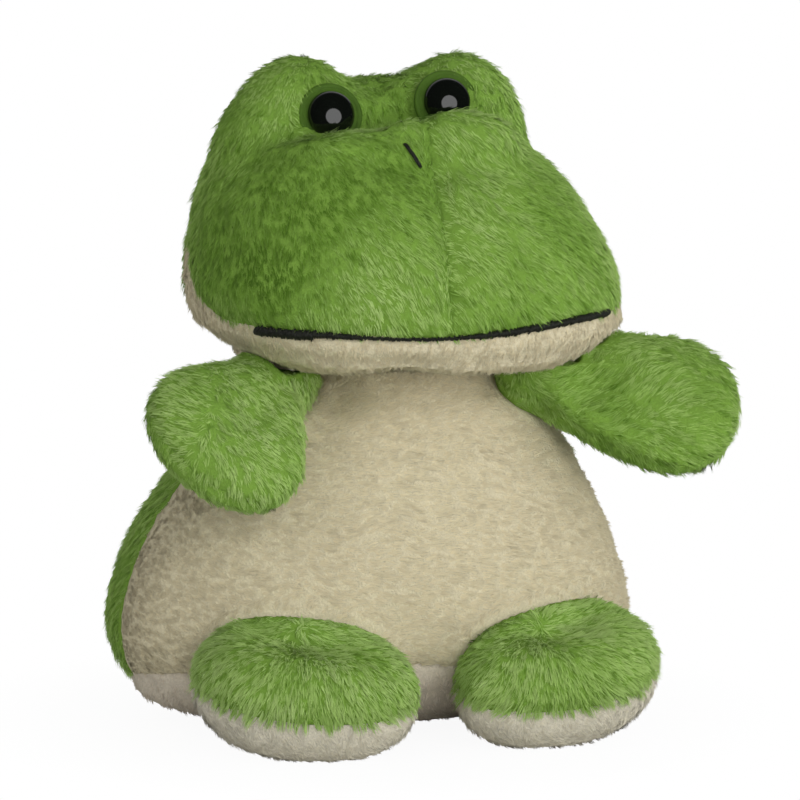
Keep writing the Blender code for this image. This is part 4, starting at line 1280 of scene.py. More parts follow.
@dataclass
class Pelt:
    """Grows the pile of one panel as closed three-sided strands, computed as whole arrays.

    Each tuft has a foot on the cloth, a normal n and a lie t. A strand runs from its root by
    0.45 L (t cos rise + n sin rise) and then by 0.55 L (t cos lay + n sin lay), and both points are
    drawn towards the tuft's middle. Its rings are triangles around that line.
    """

    stuffed: Stuffed
    panel: Panel
    others: Sequence[Form]
    clearings: Sequence[Clearing] = ()
    partings: Sequence[Parting] = ()

    def __post_init__(self) -> None:
        """Seed the panel's own random numbers."""
        word = sum(ord(letter) * (k + 7) for k, letter in enumerate(self.panel.name))
        self.random = np.random.default_rng(SEED + word)

    def tufts(self) -> tuple[Array, Array]:
        """Feet and normals of the tufts, spread evenly over the panel's free area."""
        faces = self.stuffed.faces[self.stuffed.labels == self.panel.index]
        corners = self.stuffed.points[faces]
        double = np.cross(corners[:, 1] - corners[:, 0], corners[:, 2] - corners[:, 0])
        area = np.linalg.norm(double, axis=1) / 2
        middle = corners.mean(axis=1)
        free = np.ones(len(faces), bool)
        for other in self.others:
            free &= other.near(middle) > 0.0012
        weight = area * free
        count = int(weight.sum() * 1e6 * self.panel.groom.density)
        steps = (np.arange(count) + self.random.random(count)) / count * weight.sum()
        chosen = np.minimum(np.searchsorted(np.cumsum(weight), steps), len(faces) - 1)
        a, b = np.sqrt(self.random.random(count)), self.random.random(count)
        shares = np.column_stack((1 - a, a * (1 - b), a * b))[:, :, None]
        feet = (self.stuffed.points[faces[chosen]] * shares).sum(axis=1)
        normals = unit((self.stuffed.normals[faces[chosen]] * shares).sum(axis=1))
        return feet, normals

    def lie(self, feet: Array, normals: Array, seam: Array) -> Array:
        """The way each tuft lies: its guides' mean, parted at seams and turned by noise."""
        groom = self.panel.groom
        lie = np.repeat([groom.nap], len(feet), axis=0).astype(float) * 0.05
        for guide in groom.guides:
            offset = np.linalg.norm(feet - np.array(guide.at), axis=1) / guide.reach
            lie += unit(np.array(guide.toward, float)) * np.exp(-offset**2)[:, None]
        if groom.radiate is not None:
            lie = feet - np.array(groom.radiate)
        for hole in self.clearings:
            nearness, inward = hole.brim(feet)
            lie += inward * nearness[:, None]
        lie = unit(across(lie, normals))
        step = 3e-4
        away = unit(across(differences(self.stuffed.form.seam, feet, step), normals))
        part = groom.part * np.exp(-(seam / SEAM_REACH) ** 2)
        if isinstance(self.stuffed.form, Head):
            part *= fade(feet[:, 2] - self.stuffed.form.mouth, 0.002, 0.006)
        lie = unit(lie + away * part[:, None])
        clear = unit(across(differences(self.stuffed.contact, feet, step), normals))
        lie = unit(lie + clear * (1.5 * (1 - self.stuffed.freedom(feet)))[:, None])
        wander = value_noise(feet, 0.009, 3) + 0.7 * value_noise(feet, 0.0035, 4)
        return turned_about(lie, normals, groom.wander * wander)

    def grow(self) -> list[bpy.types.Object]:
        """Make the panel's pile, in as many pieces as the limit of triangles asks for."""
        groom, random = self.panel.groom, self.random
        feet, normals = self.tufts()
        seam = self.stuffed.form.seam(feet)
        lie = self.lie(feet, normals, seam)
        length = groom.length * np.clip(1 + 0.22 * random.standard_normal(len(feet)), 0.6, 1.6)
        length *= 1 + 0.18 * value_noise(feet, 0.006, 5)
        length *= groom.seam_length + (1 - groom.seam_length) * fade(seam, 0.0003, 0.003)
        length *= 0.55 + 0.45 * self.stuffed.freedom(feet)
        blotches = value_noise(feet, 0.011, 6) + 0.5 * value_noise(feet, 0.004, 7)
        tone = groom.tone + groom.patch * blotches
        # painted light and shade: each guide's tone lightens or darkens the pile about it
        shift = np.zeros(len(feet))
        for guide in groom.guides:
            far = np.sum((feet - np.array(guide.at)) ** 2, axis=1)
            shift += guide.tone * np.exp(-far / (1.2 * guide.reach) ** 2)
        tone += np.clip(shift, -0.34, 0.28)
        streak = self.streaks(feet, lie, 0.0016, 0.004)
        tone += 0.05 * streak + groom.grain * random.standard_normal(len(feet))
        rise = groom.rise * (1 + 0.20 * random.standard_normal(len(feet)) + 0.25 * streak)
        rise += groom.rim * np.exp(-(seam / SEAM_REACH) ** 2) + 0.5 * (1 - self.stuffed.freedom(feet))
        rise += 0.30 * sum(hole.brim(feet)[0] for hole in self.clearings)
        tilt = lie * 0.09 * random.standard_normal((len(feet), 1))
        tilt += np.cross(normals, lie) * (0.08 * random.standard_normal(len(feet)) + 0.16 * streak)[:, None]
        tuft = dict(feet=feet, normals=normals, lie=lie, length=length, tone=tone, rise=rise,
                    shade=unit(normals + tilt))
        long = self.strands(tuft, groom.strands, two_parts=True)
        short = self.strands(tuft, groom.under, two_parts=False)
        return self.pieces(long, short)

    @staticmethod
    def streaks(feet: Array, lie: Array, width: float, run: float) -> Array:
        """Noise drawn out along the lie, from about -1 to 1: a mean of fine noise at places along it."""
        places = [feet + lie * step for step in np.linspace(-0.5, 0.5, 5) * run]
        return np.clip(sum(value_noise(place, width, 8) for place in places) * 0.55, -1, 1)

    def strands(self, tuft: dict, count: int, two_parts: bool) -> tuple[Array, Array, Array, Array]:
        """Grow some strands from every tuft.

        Args:
            tuft: Arrays with one row for each tuft.
            count: Strands from each tuft.
            two_parts: Whether a strand bends in its middle.

        Returns:
            Points (n, corners, 3), shading normals, places on the map, and each root's x.
        """
        groom, random = self.panel.groom, self.random
        rows = np.repeat(np.arange(len(tuft["feet"])), count)
        feet, normals, lie = (tuft[key][rows] for key in ("feet", "normals", "lie"))
        side = np.cross(normals, lie)
        angle = random.uniform(0, 2 * np.pi, len(rows))
        radius = groom.spread * np.sqrt(random.random(len(rows)))
        offset = (lie * np.cos(angle)[:, None] + side * np.sin(angle)[:, None]) * radius[:, None]
        jitter = groom.jitter * random.standard_normal(len(rows))
        lie = turned_about(lie, normals, jitter)
        length = tuft["length"][rows] * random.uniform(0.78, 1.12, len(rows))
        root = feet + offset - normals * 0.00008
        rise = np.clip(tuft["rise"][rows] + 0.10 * random.standard_normal(len(rows)), 0.12, 1.4)
        if two_parts:
            first = 0.45 * length[:, None] * (lie * np.cos(rise)[:, None] + normals * np.sin(rise)[:, None])
            lay = groom.lay + 0.12 * random.standard_normal(len(rows))
            last = 0.55 * length[:, None] * (lie * np.cos(lay)[:, None] + normals * np.sin(lay)[:, None])
            middle = root + first - offset * 0.4 * groom.clump
            tip = middle + last - offset * 0.6 * groom.clump
            line = np.stack((root, middle, tip), axis=1)
            widths = np.array([1.0, 0.85])
        else:
            stand = np.clip(rise * 0.65, 0.12, 1.2)
            tip = root + length[:, None] * (lie * np.cos(stand)[:, None] + normals * np.sin(stand)[:, None])
            line = np.stack((root, tip - offset * groom.clump), axis=1)
            widths = np.array([1.1])
        keep = self.kept(line)
        line, rows = line[keep], rows[keep]
        half = groom.width / 2 * random.uniform(0.75, 1.25, len(rows))
        rings = len(widths)
        along = unit(line[:, 1:] - line[:, :-1])
        flank = unit(np.cross(along, tuft["normals"][rows][:, None]))
        top = np.cross(flank, along)
        turns = np.array([np.pi / 2, np.pi * 7 / 6, np.pi * 11 / 6])
        ring = flank[:, :, None] * np.cos(turns)[:, None] + top[:, :, None] * 0.7 * np.sin(turns)[:, None]
        points = line[:, :rings, None] + ring * (half[:, None] * widths)[:, :, None, None]
        points = np.concatenate((points.reshape(len(rows), rings * 3, 3), line[:, -1:]), axis=1)
        points[:, :, 2] = np.maximum(points[:, :, 2], FLOOR_CLEARANCE)
        radial = np.concatenate((ring.reshape(len(rows), rings * 3, 3), along[:, -1:]), axis=1)
        shade = unit(tuft["shade"][rows][:, None] + unit(radial) * 0.16)
        spots = line[:, 0] + across(line[:, -1] - line[:, 0], tuft["normals"][rows])
        # painted shade: strands on thin lines between locks are coloured darker, for the shadow in the gaps
        painted_gap_shade = np.exp(-(self.streaks(spots, tuft["lie"][rows], 0.0011, 0.0042) / 0.12) ** 2)
        tone = tuft["tone"][rows]
        tone = tone - groom.streak * painted_gap_shade * fade(tone, 0.12, 0.45)
        tone = np.clip(tone + groom.grain * random.standard_normal(len(rows)), 0.06, 0.94)
        shift = np.tile([0.0, -0.007, 0.007], rings)
        u = np.column_stack((tone[:, None] + shift, tone))
        levels = np.repeat(np.linspace(0, 1, rings + 1)[:-1], 3) + np.tile([0.03, 0.0, 0.0], rings)
        v = np.repeat([np.r_[levels, 1.0]], len(rows), axis=0)
        return points, shade, np.stack((u, v), axis=-1), line[:, 0, 0]

    def kept(self, line: Array) -> Array:
        """Which strands stay: those clear of the other forms and of the eyes."""
        keep = np.ones(len(line), bool)
        for other in self.others:
            keep &= other.near(line[:, 0]) > -0.0012
            keep &= other.near(line[:, -1]) > -0.0009
        for hole in self.clearings:
            for at, shrink in ((0, 0.0), (-1, 0.0012), (line.shape[1] // 2, 0.0006)):
                offset = line[:, at] - hole.place
                height = offset @ hole.axis
                wide = np.linalg.norm(offset - height[:, None] * hole.axis, axis=1)
                keep &= (wide > hole.radius - shrink) | (height < -0.008) | (height > 0.0060)
        for parting in self.partings:
            keep &= parting.misses(line[:, 0]) & parting.misses(line[:, -1])
        return keep

    def pieces(self, *groups: tuple[Array, Array, Array, Array]) -> list[bpy.types.Object]:
        """Put the strands into pieces from left to right, each within the limit of triangles."""
        patterns = {
            7: np.array([(0, 1, 2), (0, 3, 4), (0, 4, 1), (1, 4, 5), (1, 5, 2), (2, 5, 3), (2, 3, 0),
                         (3, 6, 4), (4, 6, 5), (5, 6, 3)]),
            4: np.array([(0, 1, 2), (0, 3, 1), (1, 3, 2), (2, 3, 0)]),
        }
        total = sum(len(points) * len(patterns[points.shape[1]]) for points, *_ in groups)
        count = -(-total // TRIANGLE_LIMIT)
        order = np.concatenate([group[3] for group in groups])
        cuts = np.quantile(order, np.linspace(0, 1, count + 1))
        cuts[0], cuts[-1] = -1, 1
        material = self.panel.finish.strands()
        made = []
        for k in range(count):
            points, shade, places, faces, start = [], [], [], [], 0
            for strand_points, strand_shade, strand_place, x in groups:
                chosen = (x >= cuts[k]) & (x < cuts[k + 1])
                size = strand_points.shape[1]
                number = int(chosen.sum())
                points.append(strand_points[chosen].reshape(-1, 3))
                shade.append(strand_shade[chosen].reshape(-1, 3))
                places.append(strand_place[chosen].reshape(-1, 2))
                shift = start + np.arange(number)[:, None, None] * size
                faces.append((patterns[size][None] + shift).reshape(-1, 3))
                start += number * size
            ending = f"_{k + 1}" if count > 1 else ""
            name = f"{self.panel.name}_pile{ending}"
            piece = new_piece(name, np.vstack(points), np.vstack(faces), material)
            self.finish(piece, np.vstack(places), np.vstack(shade), np.vstack(faces))
            made.append(seated(piece, self.stuffed.form.body, self.panel.finish.slot))
        return made

    @staticmethod
    def finish(piece: bpy.types.Object, places: Array, shade: Array, faces: Array) -> None:
        """Give a piece its two maps and its soft shading normals."""
        flat = places[faces.ravel()].astype(np.float32).ravel()
        for name in ("OFBake", "pile"):
            piece.data.uv_layers.new(name=name).data.foreach_set("uv", flat)
        piece.data.normals_split_custom_set_from_vertices(shade)

    def cloth(self) -> bpy.types.Object:
        """The panel's cloth, a closed sheet that stands for its CAD node."""
        faces = self.stuffed.faces[self.stuffed.labels == self.panel.index]
        points, faces = shell(self.stuffed.points, self.stuffed.normals, faces, self.stuffed.thickness)
        piece = new_piece(f"{self.panel.name}_cloth", points, faces, self.panel.finish.ground_cloth())
        return seated(piece, self.stuffed.form.body, self.panel.finish.slot, self.panel.node)


# ---------------------------------------------------------------- eyes


@dataclass
class Eye:
    """A safety eye: green iris disc and glossy black dome, seated as in the CAD.

    Args:
        side: The toy's side.
        tilt: How far the eye looks up.
    """

    side: Side
    tilt: float = math.radians(16)
    sides: int = 96
    seam_gap: float = 0.0003
    iris_radius: float = 0.0069
    iris_thickness: float = 0.0013
    pupil_radius: float = 0.0050
    pupil_dome: float = 0.0031
    pupil_rim: float = 0.0004
    shank_radius: float = 0.0021
    shank_length: float = 0.0095
    hole: float = 0.0027

    def __post_init__(self) -> None:
        """Find the seat from the iris node's box."""
        low, high = (np.array(corner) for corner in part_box(f"{self.side.word}_eye_iris"))
        self.axis = np.array([0, -math.cos(self.tilt), math.sin(self.tilt)])
        right = np.array([1.0, 0, 0])
        self.axes = np.array([right, np.cross(self.axis, right), self.axis])
        self.place = (low + high) / 2 - self.axis * (self.seam_gap + self.iris_thickness / 2)

    def clearing(self) -> Clearing:
        """The hole that the eye leaves in the pile."""
        shift = np.array([-0.0003, 0, 0.0002])
        return Clearing(self.place + shift, self.axis, self.iris_radius - 0.0003)

    def iris(self) -> bpy.types.Object:
        """The disc, with rounded edges and a shallow moulded groove round the pupil."""
        low, high = self.seam_gap, self.seam_gap + self.iris_thickness
        outer, round_off = self.iris_radius, 0.0005
        arc = np.linspace(0, np.pi / 2, 7)
        lower = np.column_stack((outer - round_off + round_off * np.sin(arc),
                                 low + round_off - round_off * np.cos(arc)))
        upper = np.column_stack((outer - round_off + round_off * np.cos(arc),
                                 high - round_off + round_off * np.sin(arc)))
        bed = high - 0.00012
        groove = np.array([(0.0060, high), (0.00585, bed), (0.0057, bed), (0.00555, high)])
        profile = np.vstack(([(self.hole, low)], lower, upper, groove, [(self.hole, high)]))
        points, faces = revolved(profile, self.sides, self.place, self.axes)
        piece = new_piece(f"{self.side.word}_iris_disc", points, faces, IRIS.material())
        return seated(piece, "head", IRIS.slot, f"{self.side.word}_eye_iris")

    def pupil(self) -> bpy.types.Object:
        """The dome on its ribbed shank, in one moulding."""
        base = 2 * self.seam_gap + self.iris_thickness
        foot, radius = base - self.shank_length, self.shank_radius
        steps = np.arange(13)
        ribs = np.column_stack((radius + 0.00012 * (1 - np.cos(steps * np.pi)),
                                foot + 0.0004 + steps * 0.0006))
        rim = np.array([(radius, base), (self.pupil_radius - 0.0002, base),
                        (self.pupil_radius, base + 0.0002)])
        arc = np.linspace(0, np.pi / 2, 33)[:-1]
        start = base + self.pupil_rim
        dome = np.column_stack((self.pupil_radius * np.cos(arc), start + self.pupil_dome * np.sin(arc)))
        profile = np.vstack(([(0, foot), (radius * 0.8, foot), (radius, foot + 0.0003)], ribs, rim, dome,
                             [(0, start + self.pupil_dome)]))
        points, faces = revolved(profile, self.sides, self.place, self.axes)
        piece = new_piece(f"{self.side.word}_pupil_dome", points, faces, PUPIL.material())
        return seated(piece, "head", PUPIL.slot, f"{self.side.word}_eye_pupil")


# ---------------------------------------------------------------- stitching


@dataclass
class Stitching:
    """The toy's threads: mouth, nostrils, neck seam and the closing of the back."""

    head: Head
    torso: Torso
    depth: float = 0.0016

    def mouth(self, pitch: float = 0.00034) -> bpy.types.Object:
        """Satin stitches side by side across the mouth seam, thicker towards its ends."""
        head = self.head
        width, front = 0.985 * head.half_width, 1.003 * head.front
        share = np.linspace(-0.845, 0.805, 2000)
        x = head.neck + 0.001 + share * width
        line = np.column_stack((
            x, -front * (1 - np.abs(share) ** head.fullness) ** (1 / head.fullness),
            head.mouth + head.lip(x)))
        travelled = np.r_[0, np.cumsum(np.linalg.norm(np.diff(line, axis=0), axis=1))]
        count = int(travelled[-1] / pitch)
        at = (np.arange(count) + 0.5) / count * travelled[-1]
        random = np.random.default_rng(SEED + 1)
        centre = np.column_stack([np.interp(at, travelled, column) for column in line.T])
        tangent = unit(np.column_stack([np.gradient(column, at) for column in centre.T]))
        outward = np.column_stack((tangent[:, 1], -tangent[:, 0], np.zeros(count)))
        place = centre[:, 0]
        half = 0.00028 + 0.00034 * fade(-place, 0.008, 0.019) + 0.00036 * fade(-place, 0.0208, 0.0220)
        half += 0.00046 * fade(place, 0.006, 0.018)
        half *= 1 + 0.12 * random.standard_normal(count)
        up = unit(np.array([0, 0, 1.0]) + 0.25 * tangent + 0.05 * random.standard_normal((count, 3)))
        drop = 0.00025 * fade(-place, 0.0215, 0.0222) + 0.00008 * random.standard_normal(count)
        centre = centre - outward * (self.depth * 0.68) - np.array([0, 0, 1.0]) * drop[:, None]
        parts = []
        arc = np.linspace(-1, 1, 7)
        for k in range(count):
            rise = 0.00055 * (1 - arc**2)
            path = centre[k] + up[k] * (arc * half[k])[:, None] + outward[k] * rise[:, None]
            parts.append(tube(path, 0.00021 * (1 - 0.25 * arc**4), outward[k], 6))
        return threaded("mouth_satin_stitches", parts, BLACK_THREAD, "head", "mouth_stitching")

    def nostril_frame(self, side: Side) -> tuple[Array, Array, Array]:
        """The middle of a nostril's stitch, the normal there and the way that the stitch runs."""
        low, high = (np.array(corner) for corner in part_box(f"nostril_{side.word}"))
        centre = ((low + high) / 2)[None]
        step = np.eye(3) * 3e-4
        normal = unit(np.array([(self.head.outside(centre + s) - self.head.outside(centre - s))[0]
                                for s in step]))
        down = unit(across(np.array([0, 0, -1.0]), normal))
        return centre, normal, turned_about(down, normal, np.array(side.value * -math.radians(30)))

    def parting(self) -> Parting:
        """Where the stitch of the open nostril pulls the pile apart."""
        centre, normal, along = self.nostril_frame(Side.RIGHT)
        centre = (centre - normal * self.head.dent(centre)[:, None])[0]
        return Parting(centre - along * 0.0028, centre + along * 0.0028, 0.0008)

    def nostril(self, side: Side) -> bpy.types.Object:
        """One slanted stitch of three strands that dives into the cloth at both ends."""
        node = f"nostril_{side.word}"
        centre, normal, along = self.nostril_frame(side)
        centre = centre - normal * self.head.dent(centre)[:, None]
        sideways = np.cross(normal, along)
        reach = np.linspace(-1, 1, 25)
        bury = 0.0022 if side is Side.LEFT else 0.0
        parts = []
        for k in range(3):
            turn = k * 2 * np.pi / 3 + reach * 2.2
            path = (centre[0] - normal * (bury - 0.0001 + 0.0012 * np.abs(reach) ** 6)[:, None]
                    + along * (reach * 0.0032)[:, None]
                    + (sideways * np.cos(turn)[:, None] + normal * 0.6 * np.sin(turn)[:, None]) * 0.00020)
            parts.append(tube(path, 0.00026 * (1 - 0.35 * reach**6), normal, 8))
        return threaded(f"{node}_stitch", parts, BLACK_THREAD, "head", node)

    def neck(self) -> bpy.types.Object:
        """Two twisted strands round the neck ball, where the head is sewn on."""
        head = self.head
        height = head.base + 0.0006
        radius = math.sqrt(0.0274**2 - (height - head.pivot_height) ** 2)
        around = np.linspace(0, 2 * np.pi, 241)[:-1]
        parts = []
        for k in range(2):
            turn = around * 40 + k * np.pi
            wide = radius + 0.00026 * np.cos(turn)
            path = np.column_stack((head.neck + wide * np.cos(around), wide * np.sin(around),
                                    height + 0.00026 * np.sin(turn)))
            closed = np.vstack((path, path[:1]))
            parts.append(tube(closed, np.full(len(closed), 0.00024), np.array([0, 0, 1.0]), 6))
        return threaded("neck_twisted_thread", parts, GREEN_THREAD, "neck", "neck_thread")

    def closing(self) -> bpy.types.Object:
        """Hand stitches that lace the stuffing opening shut down the back, of two twisted strands."""
        stitches, width = 9, 0.0032
        k = np.arange(2 * stitches)
        height = 0.0300 + 0.0300 * (k // 2) / (stitches - 1)
        x = np.where(np.isin(k % 4, (1, 2)), 1, -1) * width / 2
        fine = np.linspace(0, len(k) - 1, 24 * len(k))
        x, height = np.interp(fine, k, x), np.interp(fine, k, height)
        back = crossing(lambda y: self.torso.outside(np.column_stack((x, y, height))) > 0,
                        np.zeros(len(fine)), np.full(len(fine), 0.06), 22)
        dip = 0.0009 * np.abs(np.cos(np.pi * fine)) ** 8
        line = np.column_stack((x, back - 0.0004 - dip, height))
        line = np.vstack((line[:1], (line[:-2] + line[1:-1] + line[2:]) / 3, line[-1:]))
        parts = []
        for strand in range(2):
            turn = fine * 9 + strand * np.pi
            path = line + np.column_stack((np.cos(turn), np.sin(turn), np.sin(turn))) * 0.00018
            parts.append(tube(path, np.full(len(fine), 0.00024), np.array([0, 1.0, 0]), 6))
        return threaded("closing_thread", parts, GREEN_THREAD, "torso", "closing_stitches")


# ---------------------------------------------------------------- how the pile of each panel lies, and the light and shade painted into its tone


def guides(rows: Sequence[tuple], reach: float = 0.010) -> tuple:
    """Guides from rows of a place in millimetres, a direction and, in some rows, a tone of painted light and
    shade.
    """
    return tuple(Guide((x / 1000, y / 1000, z / 1000), (a, b, c), reach, *tone)
                 for x, y, z, a, b, c, *tone in rows)


# The seventh number of a guide row is painted light and shade: the muzzle darker on its left and lighter low
# in its middle for the lamp at the right front, the belly lighter in its middle and darker at its sides, the
# feet darker in their hollows.
FACE_RIGHT = Groom(guides=guides((
    (-22, -30, 115, 0.31, -0.22, -0.93, -0.34), (-27, -34, 103, 0.45, -0.24, -0.86, -0.26),
    (-13, -39, 110, 0.55, -0.25, -0.79, -0.06), (-4, -43, 106, 0.60, -0.25, -0.76, 0.12),
    (-14, -44, 96, 0.50, -0.20, -0.84, 0.12), (-2, -47, 94, 0.50, -0.17, -0.85, 0.12),
    (-26, -38, 93, 0.35, -0.18, -0.92, -0.04), (-36, -21, 106, -0.13, -0.12, -0.99, -0.28),
    (-17, -9, 138, -0.23, -0.10, -0.99), (2, -2, 135, 0.16, -0.19, -0.99, -0.12),
    (-3, -30, 122, 0.35, -0.25, -0.90, -0.25),
)), patch=0.16)
FACE_LEFT = Groom(guides=guides((
    (14, -40, 111, 0.55, -0.26, -0.79, 0.22), (28, -36, 110, 0.86, -0.28, -0.42, -0.08),
    (41, -31, 105, 0.89, -0.28, -0.35), (37, -20, 117, 0.97, -0.26, -0.10),
    (17, -46, 97, 0.45, -0.24, -0.84, -0.02), (33, -41, 96, 0.70, -0.27, -0.64, 0.02),
    (47, -27, 98, 0.81, -0.28, -0.49), (22, -11, 137, 0.16, -0.19, -0.99),
    (12, -26, 125, 0.26, -0.21, -0.94, 0.16),
)), patch=0.16)
CHIN = Groom(length=0.0015, width=0.00024, rise=0.7, nap=(0.0, -0.2, -1.0), wander=0.7, jitter=0.35,
             patch=0.08, streak=0.10, grain=0.03)
HEAD_BACK = Groom(density=0.55, nap=(0.1, 0.0, -1.0))
BELLY = Groom(length=0.0019, density=0.64, width=0.00027, rise=0.42, nap=(1.0, 0.0, -0.10), wander=0.30,
              jitter=0.10, patch=0.06, part=0.2, streak=0.30, grain=0.02, tone=0.50, guides=guides((
                  (5, -38, 50, 1, 0, -0.1, 0.14), (-40, -24, 30, 1, 0, -0.1, -0.15),
                  (46, -20, 40, 1, 0, -0.1, -0.12), (5, -34, 68, 1, 0, -0.1, -0.04),
                  (46, -6, 38, 0, 1, -0.1), (46, -4, 20, 0, 1, -0.1), (34, -4, 60, 0, 1, -0.2),
                  (-46, -6, 38, 0, -1, -0.1), (-46, -4, 20, 0, -1, -0.1),
                  (-34, -4, 60, 0, -1, -0.2)), 0.018))
SEAT_LIE = Groom(length=0.0016, density=0.30, rise=0.4, nap=(0.2, 0.4, 0.0), wander=0.8, patch=0.15)
BACK = Groom(density=0.50, nap=(0.0, 0.1, -1.0))
RIGHT_ARM_FRONT = Groom(wander=0.5, tone=0.70, guides=guides((
    (-50, -45, 72, -0.76, 0.27, 0.49), (-54, -40, 65, -0.69, 0.13, -0.30),
    (-41, -48, 68, 0.56, -0.25, -0.74), (-31, -42, 71, 0.46, -0.24, -0.79),
    (-37, -50, 60, 0.26, -0.21, -0.94), (-27, -43, 65, 0.46, -0.22, -0.69),
), 0.008), seam_length=1.0, part=-0.2, rim=0.35)
RIGHT_ARM_REAR = Groom(length=0.0019, nap=(0.2, -0.3, -1.0))
LEFT_ARM_FRONT = Groom(wander=0.5, tone=0.56, guides=guides((
    (43, -31, 72, 0.70, -0.07, 0.69), (51, -34, 70, 0.80, -0.11, 0.59), (61, -37, 65, 0.97, -0.24, 0.0),
    (63, -37, 58, 0.86, -0.28, -0.40), (53, -33, 56, 0.55, -0.26, -0.79), (42, -28, 62, 0.45, -0.24, -0.84),
), 0.008), seam_length=1.0, part=-0.2, rim=0.35)
LEFT_ARM_REAR = Groom(length=0.0019, nap=(0.3, -0.3, -1.0))
RIGHT_UPPER = Groom(length=0.0023, density=0.95, strands=2, radiate=(-0.0249, -0.0440, 0.0300), wander=0.30,
                    guides=guides(((-25, -43, 29, 0, 0, -1, -0.05),), 0.009), seam_length=1.15, part=-0.3,
                    tone=0.72, streak=0.46, rim=0.55)
LEFT_UPPER = Groom(length=0.0023, density=0.95, strands=2, radiate=(0.0275, -0.0430, 0.0260), wander=0.30,
                   guides=guides(((29, -42, 27, 0, 0, -1, -0.08),), 0.009), seam_length=1.15, part=-0.3,
                   tone=0.70, streak=0.46, rim=0.55)
SOLE_LIE = Groom(length=0.0014, rise=0.6, nap=(0.3, -0.4, -0.6), wander=0.8, patch=0.12)


# ---------------------------------------------------------------- the whole toy


class Frog:
    """The plush frog: six stuffed forms in their panels, eyes, stitching and what is inside."""

    def __init__(self) -> None:
        """Work out the forms."""
        self.torso = Torso("body", "torso", np.array([0.0, 0.0, 0.036]))
        self.head = Head("head", "head", np.array([0.0025, -0.0060, 0.1050]))
        joints = {joint["name"]: np.array(joint["pos_m"])
                  for joint in frame["record"]["behaviour"]["joints"]}
        self.right_arm = Arm("right_arm", "right_arm", None, outward=(-0.56, -0.76, -0.33),
                             facing=(0.25, -0.74, 0.62), shoulder=joints["right_shoulder"], head=self.head,
                             half_width=0.0184, length=0.0440, fold=(0.002, 0.0, 0.0006))
        self.left_arm = Arm("left_arm", "left_arm", None, outward=(0.93, -0.25, -0.24),
                            facing=(0.05, -0.72, 0.69), shoulder=joints["left_shoulder"], head=self.head,
                            fold=(-0.0050, -0.29, 0.0026), widening=0.5)
        self.right_foot = Foot("right_foot", "right_foot", None, side=Side.RIGHT, out=0.0235, forward=0.0415,
                               torso=self.torso)
        self.left_foot = Foot("left_foot", "left_foot", None, side=Side.LEFT, out=0.0310, forward=0.0390,
                              torso=self.torso)
        self.eyes = [Eye(side) for side in Side]
        self.head.eyes = tuple((eye.place, eye.axis) for eye in self.eyes)

    def plan(self) -> list[tuple[Form, tuple[str, ...], list[Panel]]]:
        """Each form with the nodes of its stuffing, and its panels."""
        return [
            (self.torso, ("body_stuffing",), [
                Panel("seat", 0, "seat_panel", SEAT_WITH_PAINTED_LIGHT, SEAT_LIE),
                Panel("belly", 1, "belly_panel", CREAM, BELLY),
                Panel("back_right", 2, "back_panel_right", GREEN, BACK),
                Panel("back_left", 3, "back_panel_left", GREEN, BACK)]),
            (self.head, ("head_stuffing",), [
                Panel("chin", 0, "chin_panel", CREAM, CHIN),
                Panel("face_right", 1, "face_panel_right", GREEN, FACE_RIGHT),
                Panel("face_left", 2, "face_panel_left", GREEN, FACE_LEFT),
                Panel("head_back", 3, "head_back_panel", GREEN, HEAD_BACK)]),
            *((arm, (f"{arm.name}_stuffing",), [
                Panel(f"{arm.name}_rear", 0, f"{arm.name}_rear", GREEN, rear),
                Panel(f"{arm.name}_front", 1, f"{arm.name}_front", GREEN, front)])
              for arm, rear, front in ((self.right_arm, RIGHT_ARM_REAR, RIGHT_ARM_FRONT),
                                       (self.left_arm, LEFT_ARM_REAR, LEFT_ARM_FRONT))),
            *((foot, (f"{foot.name}_stuffing",), [
                Panel(f"{foot.side.word}_sole", 0, f"{foot.name}_sole", SOLE_WITH_PAINTED_LIGHT, SOLE_LIE),
                Panel(f"{foot.side.word}_upper", 1, f"{foot.name}_upper", GREEN, upper)])
              for foot, upper in ((self.right_foot, RIGHT_UPPER), (self.left_foot, LEFT_UPPER))),
        ]

    def build(self) -> None:
        """Make every piece."""
        fibre = FIBRE.material()
        stitching = Stitching(self.head, self.torso)
        plan = self.plan()
        forms = [row[0] for row in plan]
        for form, stuffing, panels in plan:
            others = [other for other in forms if other is not form]
            limb = isinstance(form, (Arm, Foot))
            sizes = {"depth": 0.0002, "swell": 0.0008, "slack": 0.08} if limb else {}
            stuffed = Stuffed(form, others, **sizes)
            stuffed.build()
            stuffed.fill(fibre, *stuffing)
            clearings = [eye.clearing() for eye in self.eyes] if form is self.head else []
            partings = [stitching.parting()] if form is self.head else []
            for panel in panels:
                pelt = Pelt(stuffed, panel, others, clearings, partings)
                pelt.cloth()
                pelt.grow()
        for eye in self.eyes:
            eye.iris()
            eye.pupil()
        stitching.mouth()
        for side in Side:
            stitching.nostril(side)
        stitching.neck()
        stitching.closing()
        self.dress_hidden()

    @staticmethod
    def dress_hidden() -> None:
        """Give the CAD nodes that stay their materials."""
        inside = {"pouch_upper": LINING, "pouch_lower": LINING, "pellet_fill": PELLETS,
                  "right_eye_washer": WASHER, "left_eye_washer": WASHER}
        made = {finish.name: finish.material() for finish in (LINING, PELLETS, WASHER)}
        for node, finish in inside.items():
            for slot in bpy.data.objects[node].material_slots:
                slot.material = made[finish.name]


# ---------------------------------------------------------------- studio


